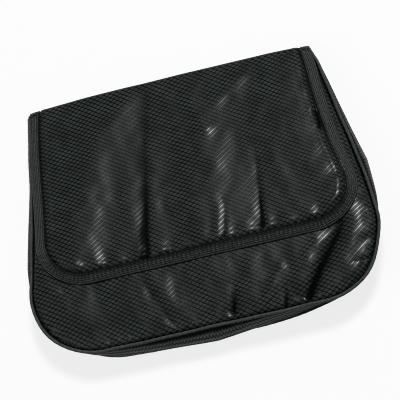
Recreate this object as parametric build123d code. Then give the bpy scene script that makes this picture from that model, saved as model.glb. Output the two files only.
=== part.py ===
from build123d import *
import os
from math import asin, atan2, cos, degrees, hypot, sin

# A soft carry pouch lying on its back: X across, Y up the pouch, Z out of its front.
# Every length is in millimetres.

# Front and back panels, a flared U measured along the piped seam
panel_height = 287.0
panel_top_width = 316.0
panel_bottom_width = 400.0
panel_corner_radius = 60.0

# Depth inside the pouch from the back panel to the front seam, and the rounded front
mouth_depth = 20.0
bottom_depth = 33.0
front_crown = 8.0
front_rim_rise = 1.5
front_rim_bevel = 1.0
mouth_drop = 8.0

# Gusset, which stands out more at the bottom than at the mouth
gusset_bulge_bottom = 9.0
gusset_bulge_mouth = 3.0
gusset_steps = 4

# Flap, whose sides flare less than the pouch does
flap_length = 216.0
flap_top_width = 320.0
flap_bottom_width = 368.0
flap_corner_radius = 55.0

# Cloth, tape, cord and hook-and-loop thicknesses
cloth = 0.9
lining = 0.6
tape = 0.7
piping_diameter = 3.5
loop_thickness = 1.3
hook_thickness = 1.0
web_thickness = 1.2

# Widths of folded binding tape, seam tape and the closure's strips
binding_width = 12.0
seam_binding_height = 9.0
closure_width = 100.0
closure_height = 25.0
closure_spacing = 170.0
closure_above_flap_edge = 18.0

# Straps that hold the pouch to a frame tube
strap_width = 25.0
strap_side_inset = 53.0
strap_length = 190.0
strap_fold_drop = 14.0
strap_tip_round = 6.0
strap_anchor_length = 30.0
strap_hook_length = 60.0
strap_loop_length = 90.0
strap_loop_overrun = 5.0

# Clearances: between moving pieces, between sewn plies, and beside a piping
clearance = 0.3
ply_gap = 0.2
seam_gap = 0.3
skirt_gap = 0.15

# Extra reach of a cutting shape past what it cuts
overcut = 6.0

# Heights from the table up
piping_radius = piping_diameter / 2
strap_stack = web_thickness + hook_thickness + clearance + loop_thickness
back_face_z = max(strap_stack, piping_diameter + seam_gap)
inside_z = back_face_z + cloth
mouth_seam_z = inside_z + mouth_depth
bottom_seam_z = inside_z + bottom_depth

# Plies over the front, as heights above the front panel's outer face
loop_low = ply_gap
hook_low = loop_low + loop_thickness + clearance
lining_low = hook_low + hook_thickness + ply_gap
flap_low = lining_low + lining + ply_gap
flap_high = flap_low + cloth
flap_middle = (lining_low + flap_high) / 2
binding_low = lining_low - ply_gap - tape
binding_high = flap_high + ply_gap + tape

# The spine stands across the mouth between two folds
spine_thickness = cloth + lining
spine_half = spine_thickness / 2
spine_bound_half = spine_half + tape
fold_gap = (binding_high - binding_low) / 2
fold_sweep = hypot(fold_gap, fold_gap) + clearance
spine_reach = clearance + 2 * spine_bound_half

# Y places, with the whole pouch centred between its spine and the gusset's bulge
gusset_edge = skirt_gap + cloth
top_y = (panel_height + gusset_bulge_bottom + gusset_edge - spine_reach) / 2
bottom_y = top_y - panel_height
mouth_y = top_y - mouth_drop
spine_y = top_y + clearance + spine_bound_half
spine_low_z = back_face_z + spine_half
strap_fold_y = top_y - strap_fold_drop
strap_roll_radius = (strap_stack - clearance) / 2
strap_face_z = back_face_z - strap_stack
strap_axis_z = strap_face_z + strap_roll_radius
strap_spacing = panel_top_width / 2 - strap_side_inset
strap_places = {"left": -strap_spacing, "centre": 0.0, "right": strap_spacing}
closure_places = {"left": -closure_spacing / 2, "right": closure_spacing / 2}

# The front is one arc in the YZ plane, from the mouth's seam to the bottom seam
seam_run = bottom_seam_z - mouth_seam_z
seam_tilt = atan2(seam_run, panel_height)
front_chord = hypot(panel_height, seam_run)
front_radius = (front_chord**2 / 4 + front_crown**2) / (2 * front_crown)
front_up = Vector(0, seam_run / front_chord, panel_height / front_chord)
chord_middle = Vector(0, (top_y + bottom_y) / 2, (mouth_seam_z + bottom_seam_z) / 2 + front_rim_rise)
front_centre = chord_middle - front_up * (front_radius - front_crown)

# Main folds of the slack cloth: rise, half width, and places as shares of the half width and the length
flap_folds = [
    (3.0, 26.0, [(-0.42, 0.11), (-0.58, 0.48), (-0.71, 0.83)]),
    (2.4, 14.0, [(0.00, 0.60), (0.02, 0.74), (0.04, 0.88)]),
]
front_folds = [
    (3.0, 12.0, [(0.76, 0.79), (0.70, 0.85), (0.64, 0.92)]),
]
fold_end = 0.35
fold_flank = 0.5
fold_shoulder = 0.72
fold_sink = 0.3

# Sizes of the cutting stock that every piece is trimmed from
stock_half_width = panel_bottom_width / 2 + panel_corner_radius
stock_height = bottom_seam_z + front_crown + panel_corner_radius


def front_z(y, height):
    """Z of the front's arc, raised by a height above the front panel, at a place along Y."""
    radius = front_radius + height
    return front_centre.Z + (radius**2 - (y - front_centre.Y) ** 2) ** 0.5


def flared_corners(top_half, bottom_half, height, grow, start):
    """Four corners of a flared U whose top line is at Y 0, grown evenly, from a start along Y."""
    lean = atan2(bottom_half - top_half, height)
    slope = sin(lean) / cos(lean)
    widened = top_half + grow / cos(lean)
    upper = widened - slope * start
    lower = widened + slope * (height + grow)
    foot = -height - grow
    return [(-upper, start), (-lower, foot), (lower, foot), (upper, start)]


def flared_path(top_half, bottom_half, height, radius, grow=0.0, start=0.0):
    """The U of sides, corners and bottom, as one smooth path."""
    corners = flared_corners(top_half, bottom_half, height, grow, start)
    return FilletPolyline(*corners, radius=radius + grow)


def flared_face(top_half, bottom_half, height, radius, grow=0.0, start=0.0):
    """A flat sheet of the U's outline, closed by its straight top."""
    path = flared_path(top_half, bottom_half, height, radius, grow, start)
    return make_face([*path.edges(), Line(path @ 1, path @ 0)])


def panel_face(grow=0.0, start=0.0, height=panel_height):
    """The outline of a panel, whose height is measured along its own plane."""
    return flared_face(
        panel_top_width / 2, panel_bottom_width / 2, height, panel_corner_radius, grow, start
    )


def flap_face(grow=0.0, start=0.0):
    """The outline of the flap, whose top line is the fold over the mouth."""
    return flared_face(
        flap_top_width / 2, flap_bottom_width / 2, flap_length, flap_corner_radius, grow, start
    )


def upright(face, y):
    """A tall block of a flat outline whose top line is set at a place along Y."""
    return Pos(0, y, 0) * extrude(face, amount=stock_height)


def front_slab(low, high):
    """The space between two heights above the front panel, as wide as the stock."""
    half_turn = asin((front_chord / 2 + overcut) / front_radius)
    middle = atan2(front_up.Z, front_up.Y)
    centre = (front_centre.Y, front_centre.Z)
    start = degrees(middle - half_turn)
    outer = CenterArc(centre, front_radius + high, start, degrees(2 * half_turn))
    inner = CenterArc(centre, front_radius + low, start, degrees(2 * half_turn))
    ends = [Line(outer @ 0, inner @ 0), Line(outer @ 1, inner @ 1)]
    return extrude(Plane.YZ * make_face([outer, inner, *ends]), amount=stock_half_width, both=True)


def seam_slab(low, high):
    """The space between two heights above the front seam's tilted plane."""
    slope = seam_run / panel_height
    near_y = bottom_y - overcut - gusset_bulge_bottom
    far_y = top_y + overcut
    near_z = mouth_seam_z + slope * (top_y - near_y)
    far_z = mouth_seam_z + slope * (top_y - far_y)
    corners = [(near_y, near_z + low), (far_y, far_z + low), (far_y, far_z + high), (near_y, near_z + high)]
    sheet = Plane.YZ * make_face(Polyline(*corners, close=True))
    return extrude(sheet, amount=stock_half_width, both=True)


def seam_plane(share, drop=0.0):
    """A plane through the mouth line, from the back panel (0) to the front seam (1)."""
    tilt = seam_tilt * share
    height = inside_z + (mouth_depth - drop) * share
    return Plane(origin=(0, top_y, height), x_dir=(1, 0, 0), z_dir=(0, sin(tilt), cos(tilt)))


def fold_ridge(fold, half_width, length, top, height):
    """A soft ridge along a line on the face at a height above the front, ruled through its sections."""
    rise, spread, shares = fold
    places = [(half_width * across, top - length * down) for across, down in shares]
    along = Vector(*places[-1]) - Vector(*places[0])
    flank = (fold_flank * spread, fold_shoulder * rise)
    outline = [(-spread, -fold_sink), (-flank[0], flank[1]), (0, rise), flank, (spread, -fold_sink)]
    sections = []
    for x, y in places:
        full = fold_end if (x, y) in (places[0], places[-1]) else 1.0
        plane = Plane(origin=(x, y, front_z(y, height)), x_dir=(-along.Y, along.X, 0), z_dir=along)
        corners = [(full * side, full * up) for side, up in outline]
        sections.append(plane * make_face(Polyline(*corners, close=True)))
    return loft(sections, ruled=True) & front_slab(height - cloth / 2, stock_height)


def back_panel():
    """Flat back panel, whose edge carries the gusset above and the piping below."""
    return Pos(0, top_y, back_face_z) * extrude(panel_face(grow=piping_radius), amount=cloth)


def front_panel():
    """Rounded front panel with its edge turned down to the seam, open at the mouth."""
    outer = upright(panel_face(start=-mouth_drop), top_y) & front_slab(-stock_height / 2, 0)
    inner = upright(panel_face(grow=-cloth, start=overcut), top_y) & front_slab(-stock_height, -cloth)
    shell = (outer - inner) & seam_slab(-piping_radius, stock_height)
    roof = shell.faces().filter_by(GeomType.CYLINDER).sort_by(SortBy.AREA)[-1]
    rim = [e for e in roof.edges() if e.center().Y < mouth_y - overcut]
    panel = chamfer(rim, length=front_rim_bevel)
    for fold in front_folds:
        panel += fold_ridge(fold, panel_bottom_width / 2, panel_height, top_y, 0)
    return panel


def gusset_form(inward, start):
    """Closed form of the gusset's outer or inner face, ruled in steps round its bulge."""
    edge = gusset_edge - inward
    sections = []
    for step in range(gusset_steps + 1):
        share = step / gusset_steps
        swell = 4 * share * (1 - share)
        at_mouth = swell * gusset_bulge_mouth
        at_bottom = swell * gusset_bulge_bottom
        plane = seam_plane(share, drop=piping_radius)
        face = flared_face(
            panel_top_width / 2 + edge + at_mouth,
            panel_bottom_width / 2 + edge + at_bottom,
            panel_height / cos(seam_tilt * share) + edge + at_bottom,
            panel_corner_radius + edge + at_bottom,
            start=start,
        )
        sections.append(plane * face)
    return loft(sections, ruled=True)


def gusset():
    """One strip of plain cloth round the sides and bottom, open at the mouth."""
    return gusset_form(0.0, 0.0) - gusset_form(cloth, overcut)


def back_piping():
    """Covered cord in the seam round the back panel, which the pouch lies on."""
    path = flared_path(panel_top_width / 2, panel_bottom_width / 2, panel_height, panel_corner_radius)
    path = Pos(0, top_y, back_face_z - seam_gap - piping_radius) * path
    return sweep(Plane(origin=path @ 0, z_dir=path % 0) * Circle(piping_radius), path)


def front_piping():
    """Covered cord in the seam round the front panel, beside its turned-down edge."""
    path = seam_plane(1) * flared_path(
        panel_top_width / 2,
        panel_bottom_width / 2,
        panel_height / cos(seam_tilt),
        panel_corner_radius,
        grow=piping_radius + skirt_gap,
    )
    return sweep(Plane(origin=path @ 0, z_dir=path % 0) * Circle(piping_radius), path)


def seam_binding_face():
    """The thin U that a bound seam allowance makes inside the gusset."""
    outer = panel_face(grow=-cloth - seam_gap)
    inner = panel_face(grow=-cloth - seam_gap - 2 * tape, start=overcut)
    return outer - inner


def back_seam_binding():
    """Tape over the raw seam allowance that stands on the back panel, inside."""
    return Pos(0, top_y, inside_z) * extrude(seam_binding_face(), amount=seam_binding_height)


def front_seam_binding():
    """Tape over the raw seam allowance that hangs from the front seam, inside."""
    top = seam_plane(1) * Pos(0, 0, -seam_binding_height) * extrude(
        seam_binding_face(), amount=seam_binding_height
    )
    return top & upright(panel_face(start=-mouth_drop - binding_width - clearance), top_y)


def mouth_binding():
    """Tape folded over the front panel's free top edge."""
    half = panel_top_width / 2 - cloth - seam_gap - 2 * tape - clearance
    reach = Pos(0, mouth_y + ply_gap + tape, 0) * Box(
        2 * half, binding_width + tape, stock_height, align=(Align.CENTER, Align.MAX, Align.MIN)
    )
    slot = Pos(0, mouth_y + ply_gap, 0) * Box(
        2 * stock_half_width, 2 * binding_width, stock_height, align=(Align.CENTER, Align.MAX, Align.MIN)
    )
    outside = front_slab(-cloth - ply_gap - tape, ply_gap + tape)
    return (reach & outside) - (slot & front_slab(-cloth - ply_gap, ply_gap))


def flap_seam_tape():
    """Tape along the inside of the back panel's top edge, over the spine's seam."""
    half = panel_top_width / 2 - cloth - seam_gap - 2 * tape - clearance
    return Pos(0, top_y, inside_z) * Box(
        2 * half, binding_width, tape, align=(Align.CENTER, Align.MAX, Align.MIN)
    )


def closure_strip(x, low, high):
    """A strip of hook or loop that follows the front's curve under the flap's edge."""
    y = spine_y - flap_length + binding_width + closure_above_flap_edge + closure_height / 2
    return Pos(x, 0, 0) * upright(Rectangle(closure_width, closure_height), y) & front_slab(low, high)


def flap_ply(low, high):
    """A sheet of the flap inside its binding, from the fold to its lower edge."""
    return upright(flap_face(grow=-tape - ply_gap, start=-fold_gap), spine_y) & front_slab(low, high)


def flap_panel():
    """Outer ply of the flap, with the main folds of its slack cloth."""
    panel = flap_ply(flap_low, flap_high)
    for fold in flap_folds:
        panel += fold_ridge(fold, flap_top_width / 2, flap_length, spine_y, flap_high)
    return panel


def flap_binding():
    """Woven tape folded over the flap's sides and lower edge."""
    band = flap_face(start=-fold_gap) - flap_face(grow=-binding_width, start=overcut)
    slot = flap_face(grow=-tape, start=overcut)
    folded = upright(band, spine_y) & front_slab(binding_low, binding_high)
    return folded - (upright(slot, spine_y) & front_slab(lining_low - ply_gap, flap_high + ply_gap))


def spine_form():
    """The spine's two plies together, rounded about the folds at both edges."""
    half = flap_top_width / 2 - tape
    high_z = front_z(spine_y, flap_middle)
    outline = SlotCenterToCenter(high_z - spine_low_z, spine_thickness)
    middle = Plane(origin=(0, spine_y, (high_z + spine_low_z) / 2), x_dir=(0, 0, 1), z_dir=(1, 0, 0))
    return extrude(middle * outline, amount=half, both=True)


def spine_ply(low_y, high_y):
    """One ply of the spine, between two places along Y."""
    keep = Pos(0, low_y, 0) * Box(
        2 * stock_half_width, high_y - low_y, 2 * stock_height, align=(Align.CENTER, Align.MIN, Align.CENTER)
    )
    return spine_form() & keep


def spine_edge_bindings():
    """Tape folded over the two short ends of the spine."""
    high_z = front_z(spine_y, flap_middle)
    low = spine_low_z + fold_sweep
    high = high_z - fold_sweep
    pair = []
    for side in (-1, 1):
        outer = Pos(side * flap_top_width / 2, spine_y, low) * Box(
            2 * binding_width, 2 * spine_bound_half, high - low, align=(Align.CENTER, Align.CENTER, Align.MIN)
        )
        keep = Box(flap_top_width, 2 * stock_half_width, 2 * stock_height)
        slot = Box(flap_top_width - 2 * tape, spine_thickness, 2 * stock_height)
        pair.append((outer & keep) - Pos(0, spine_y, 0) * slot)
    return Compound(children=pair)


def strap_anchor(x):
    """The end of a strap that is sewn to the back panel."""
    y = strap_fold_y - strap_roll_radius - clearance
    return Pos(x, y, back_face_z) * Box(
        strap_width, strap_anchor_length, web_thickness, align=(Align.CENTER, Align.MAX, Align.MAX)
    )


def strap_loop(x):
    """Loop tape sewn to the back panel under a strap's free end."""
    y = strap_fold_y - strap_length - strap_loop_overrun
    return Pos(x, y, back_face_z) * Box(
        strap_width, strap_loop_length, loop_thickness, align=(Align.CENTER, Align.MIN, Align.MAX)
    )


def strap_web(x):
    """The free webbing of a strap, folded down from its anchor, with a rounded tip."""
    foot = -strap_length
    half = strap_width / 2
    corners = [(-half, 0), (-half, foot), (half, foot), (half, 0)]
    path = FilletPolyline(*corners, radius=strap_tip_round)
    outline = make_face([*path.edges(), Line(path @ 1, path @ 0)])
    sheet = Pos(x, strap_fold_y, strap_face_z) * extrude(outline, amount=web_thickness)
    roll = Cylinder(strap_roll_radius, strap_width, rotation=(0, 90, 0))
    return sheet + Pos(x, strap_fold_y, strap_axis_z) * roll


def strap_hook(x):
    """Hook tape sewn to the inner face of a strap's free end."""
    y = strap_fold_y - strap_length + strap_tip_round
    return Pos(x, y, strap_face_z + web_thickness) * Box(
        strap_width, strap_hook_length, hook_thickness, align=(Align.CENTER, Align.MIN, Align.MIN)
    )


def pieces():
    """Every sub-part of the pouch under its node's name."""
    named = {
        "back_panel": back_panel(),
        "front_panel": front_panel(),
        "gusset": gusset(),
        "back_piping": back_piping(),
        "front_piping": front_piping(),
        "back_seam_binding": back_seam_binding(),
        "front_seam_binding": front_seam_binding(),
        "mouth_binding": mouth_binding(),
        "flap_seam_tape": flap_seam_tape(),
        "spine_panel": spine_ply(spine_y - spine_half + lining, spine_y + spine_half),
        "spine_lining": spine_ply(spine_y - spine_half, spine_y - spine_half + lining),
        "spine_edge_bindings": spine_edge_bindings(),
        "flap_panel": flap_panel(),
        "flap_lining": flap_ply(lining_low, lining_low + lining),
        "flap_binding": flap_binding(),
    }
    for side, x in closure_places.items():
        named[f"closure_loop_{side}"] = closure_strip(x, loop_low, loop_low + loop_thickness)
        named[f"closure_hook_{side}"] = closure_strip(x, hook_low, hook_low + hook_thickness)
    for side, x in strap_places.items():
        named[f"strap_anchor_{side}"] = strap_anchor(x)
        named[f"strap_loop_{side}"] = strap_loop(x)
        named[f"strap_web_{side}"] = strap_web(x)
        named[f"strap_hook_{side}"] = strap_hook(x)
    return named


os.makedirs("parts", exist_ok=True)
for name, solid in pieces().items():
    export_step(solid, f"parts/{name}.step")

print("spine fold axis", round(spine_y, 3), round(spine_low_z, 3))
print("flap fold axis", round(spine_y, 3), round(front_z(spine_y, flap_middle), 3))
print("strap fold axis", round(strap_fold_y, 3), round(strap_axis_z, 3))
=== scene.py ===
"""A soft carry pouch with a bound flap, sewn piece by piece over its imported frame.

Cloth is drafted in millimetres and turned into metres as each mesh is made.
X runs across the pouch, Y up it and Z out of its front.
"""

import logging
import math
from dataclasses import dataclass
from enum import Enum

import bpy
import numpy as np
from mathutils import Matrix, Vector


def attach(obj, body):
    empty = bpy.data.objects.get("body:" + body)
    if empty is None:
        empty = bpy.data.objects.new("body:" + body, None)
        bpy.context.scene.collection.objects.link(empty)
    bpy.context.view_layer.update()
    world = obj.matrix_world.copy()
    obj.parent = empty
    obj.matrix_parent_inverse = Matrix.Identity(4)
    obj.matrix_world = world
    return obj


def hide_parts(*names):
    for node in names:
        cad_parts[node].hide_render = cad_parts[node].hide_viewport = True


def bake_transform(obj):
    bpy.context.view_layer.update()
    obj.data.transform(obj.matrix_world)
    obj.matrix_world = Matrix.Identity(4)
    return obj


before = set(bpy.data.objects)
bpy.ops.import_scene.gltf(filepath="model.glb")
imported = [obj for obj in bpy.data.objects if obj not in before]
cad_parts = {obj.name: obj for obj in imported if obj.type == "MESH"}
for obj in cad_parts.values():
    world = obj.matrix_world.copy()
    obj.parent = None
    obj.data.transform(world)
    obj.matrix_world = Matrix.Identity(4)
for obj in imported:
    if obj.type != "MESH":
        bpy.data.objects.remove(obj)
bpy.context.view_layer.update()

METRES = 0.001
CLOTH_ATTRIBUTE = "cloth"
Array = np.ndarray
Piece = bpy.types.Object
Socket = bpy.types.NodeSocket
NodeTree = bpy.types.NodeTree
log = logging.getLogger("pouch")


class Body(str, Enum):
    """The bodies of the frame that cloth rides on."""

    POUCH = "pouch"
    SPINE = "spine"
    FLAP = "flap"


class Held(str, Enum):
    """How a sheet is held, in the frame's own words."""

    STRETCHED = "stretched"
    FOLDED = "folded"


class Side(Enum):
    """Left and right of the pouch, seen from its front."""

    LEFT = -1
    RIGHT = 1

    @property
    def word(self) -> str:
        """The side's name in lower case."""
        return self.name.lower()


# Shader helpers


class Graph:
    """Adds and wires nodes in one tree."""

    def __init__(self, tree: NodeTree) -> None:
        """Starts on a tree.

        Args:
            tree: The node tree to work in.
        """
        self.tree = tree

    def node(self, kind: str, sockets: dict | None = None, **settings) -> bpy.types.Node:
        """Adds a node, sets its properties and feeds its inputs.

        Args:
            kind: The node's type name.
            sockets: Input name or index to a value or an output socket.
            settings: Properties of the node itself.

        Returns:
            The new node.
        """
        made = self.tree.nodes.new(kind)
        for key, value in settings.items():
            setattr(made, key, value)
        for key, value in (sockets or {}).items():
            self.feed(made.inputs[key], value)
        return made

    def feed(self, socket: Socket, value: object) -> None:
        """Links an output to an input, or sets the input's own value.

        Args:
            socket: The input.
            value: An output socket or a plain value.
        """
        if isinstance(value, Socket):
            self.tree.links.new(value, socket)
        else:
            socket.default_value = value

    def math(self, operation: str, *values: object) -> Socket:
        """Adds a Math node.

        Args:
            operation: What it does.
            values: Its inputs in order, each a value or an output socket.

        Returns:
            Its output.
        """
        sockets = dict(enumerate(values))
        return self.node("ShaderNodeMath", sockets, operation=operation).outputs[0]

    def ramp(self, value: object, low: float, high: float, to_low: float, to_high: float) -> Socket:
        """Maps a value smoothly from one range to another.

        Args:
            value: A value or an output socket.
            low: Start of its range.
            high: End of its range.
            to_low: Result at the start.
            to_high: Result at the end.

        Returns:
            Its output.
        """
        sockets = {"Value": value, "From Min": low, "From Max": high, "To Min": to_low, "To Max": to_high}
        made = self.node("ShaderNodeMapRange", sockets, interpolation_type="SMOOTHSTEP")
        return made.outputs["Result"]

    def mix(self, share: object, first: object, second: object, blend: str = "MIX") -> Socket:
        """Mixes two colours.

        Args:
            share: How far the second colour takes part.
            first: A colour or an output socket.
            second: A colour or an output socket.
            blend: How the two meet.

        Returns:
            Its output.
        """
        made = self.node("ShaderNodeMix", data_type="RGBA", blend_type=blend)
        self.feed(made.inputs["Factor"], share)
        self.feed(made.inputs[6], first)
        self.feed(made.inputs[7], second)
        return made.outputs[2]

    def noise(self, place: object, scale: float, detail: float = 2.0) -> Socket:
        """Adds a noise texture.

        Args:
            place: Where it is read.
            scale: How many cells it has to a millimetre.
            detail: How many finer layers it has.

        Returns:
            Its output, about a half.
        """
        sockets = {"Vector": place, "Scale": scale, "Detail": detail}
        return self.node("ShaderNodeTexNoise", sockets).outputs["Fac"]

    def cloth_place(self) -> Socket:
        """The place on the flat cloth in millimetres, stored on the mesh."""
        made = self.node("ShaderNodeAttribute", attribute_name=CLOTH_ATTRIBUTE)
        return made.outputs["Vector"]


Sockets = dict[str, tuple[str, object]]
Group = tuple[NodeTree, Graph, bpy.types.Node, bpy.types.Node]


def new_group(name: str, inputs: Sockets, outputs: dict[str, str], kind: str = "ShaderNodeTree") -> Group:
    """Starts a node group with named sockets.

    Args:
        name: The group's name.
        inputs: Input name to its socket type and default.
        outputs: Output name to its socket type.
        kind: The tree's type name.

    Returns:
        The tree, its graph, and its input and output nodes.
    """
    tree = bpy.data.node_groups.new(name, kind)
    for key, (socket_type, default) in inputs.items():
        socket = tree.interface.new_socket(key, in_out="INPUT", socket_type=socket_type)
        if default is not None:
            socket.default_value = default
    for key, socket_type in outputs.items():
        tree.interface.new_socket(key, in_out="OUTPUT", socket_type=socket_type)
    graph = Graph(tree)
    return tree, graph, graph.node("NodeGroupInput"), graph.node("NodeGroupOutput")


FLOAT = "NodeSocketFloat"
VECTOR = "NodeSocketVector"
GEOMETRY = "NodeSocketGeometry"


def ripstop_group() -> NodeTree:
    """Two crossing families of dark, glossy threads round lighter diamonds, over a fine weave.

    Returns:
        A group with the diamonds' light, a height, a soft change of shade and the threads' gloss.
    """
    tree, graph, start, end = new_group(
        "ripstop_weave",
        {
            "Place": (VECTOR, None),
            "Diamond Width": (FLOAT, 7.3),
            "Diamond Height": (FLOAT, 5.2),
            "Drift": (FLOAT, 0.35),
            "Level": (FLOAT, 0.42),
            "Brightest": (FLOAT, 1.2),
            "Falling": (FLOAT, 0.42),
            "Doubled": (FLOAT, 0.26),
            "Rising": (FLOAT, 0.42),
            "Speck": (FLOAT, 0.5),
            "Fine Pitch": (FLOAT, 0.8),
            "Fine Relief": (FLOAT, 0.12),
            "Falling Gloss": (FLOAT, 0.15),
            "Thread Gloss": (FLOAT, 0.86),
            "Cloth Gloss": (FLOAT, 0.12),
        },
        {"Light": FLOAT, "Height": FLOAT, "Shade": FLOAT, "Gloss": FLOAT},
    )
    given = start.outputs
    drift = graph.noise(given["Place"], 0.03, 1.0)
    place = graph.node("ShaderNodeSeparateXYZ", {0: given["Place"]})
    across = graph.math("DIVIDE", place.outputs[0], given["Diamond Width"])
    along = graph.math("DIVIDE", place.outputs[1], given["Diamond Height"])
    along = graph.math("ADD", along, graph.math("MULTIPLY", drift, given["Drift"]))
    falling, rising = (
        graph.math("COSINE", graph.math("MULTIPLY", graph.math(operation, across, along), math.tau))
        for operation in ("ADD", "SUBTRACT")
    )
    doubled = graph.math("MULTIPLY_ADD", graph.math("MULTIPLY", falling, falling), 2.0, -1.0)
    speck = graph.math("SUBTRACT", graph.noise(given["Place"], 0.5, 2.0), 0.5)
    light = graph.math("MULTIPLY_ADD", speck, given["Speck"], given["Level"])
    for wave, share in ((falling, "Falling"), (doubled, "Doubled"), (rising, "Rising")):
        light = graph.math("SUBTRACT", light, graph.math("MULTIPLY", wave, given[share]))
    light = graph.math("MINIMUM", graph.math("MAXIMUM", light, 0.0), given["Brightest"])
    crests = [graph.ramp(wave, 0.45, 1.0, 0.0, 1.0) for wave in (falling, rising)]
    gloss = graph.math("MAXIMUM", crests[1], graph.math("MULTIPLY", crests[0], given["Falling Gloss"]))
    gloss = graph.math("MULTIPLY_ADD", gloss, given["Thread Gloss"], given["Cloth Gloss"])
    fine = [
        graph.math("PINGPONG", graph.math("DIVIDE", place.outputs[axis], given["Fine Pitch"]), 0.5)
        for axis in (0, 1)
    ]
    weave = graph.math("MULTIPLY", graph.math("ADD", *fine), given["Fine Relief"])
    graph.feed(end.inputs["Light"], light)
    graph.feed(end.inputs["Height"], graph.math("ADD", light, weave))
    graph.feed(end.inputs["Shade"], graph.noise(given["Place"], 0.05, 3.0))
    graph.feed(end.inputs["Gloss"], gloss)
    return tree


def weave_group() -> NodeTree:
    """A plain or ribbed weave of warp and weft.

    Returns:
        A group with the weave's height and a soft change of shade.
    """
    tree, graph, start, end = new_group(
        "plain_weave",
        {
            "Place": (VECTOR, None),
            "Warp Pitch": (FLOAT, 1.0),
            "Weft Pitch": (FLOAT, 1.0),
            "Relief": (FLOAT, 0.8),
            "Fuzz": (FLOAT, 0.4),
        },
        {"Height": FLOAT, "Shade": FLOAT},
    )
    given = start.outputs
    place = graph.node("ShaderNodeSeparateXYZ", {0: given["Place"]})
    warp = graph.math("DIVIDE", place.outputs[0], given["Warp Pitch"])
    weft = graph.math("DIVIDE", place.outputs[1], given["Weft Pitch"])
    row = graph.math("MULTIPLY", graph.math("FLOOR", graph.math("MULTIPLY", weft, 2.0)), 0.5)
    over = graph.math("PINGPONG", graph.math("ADD", warp, row), 0.5)
    under = graph.math("PINGPONG", weft, 0.5)
    loose = graph.math("SUBTRACT", graph.noise(given["Place"], 0.9, 2.0), 0.5)
    fuzz = graph.math("MULTIPLY", loose, given["Fuzz"])
    threads = graph.math("MULTIPLY", graph.math("ADD", over, under), given["Relief"])
    graph.feed(end.inputs["Height"], graph.math("ADD", threads, fuzz))
    graph.feed(end.inputs["Shade"], graph.noise(given["Place"], 0.25, 3.0))
    return tree


Colour = tuple[float, float, float]
# The shades that the patches of a cloth go between
SHADE_LOW = (0.72, 0.72, 0.72)
SHADE_HIGH = (1.12, 1.12, 1.12)
SHEEN_ROUGHNESS = 0.5
COAT_ROUGHNESS = 0.28


def rgba(colour: Colour) -> tuple[float, float, float, float]:
    """A colour with full alpha."""
    return (*colour, 1.0)


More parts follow.
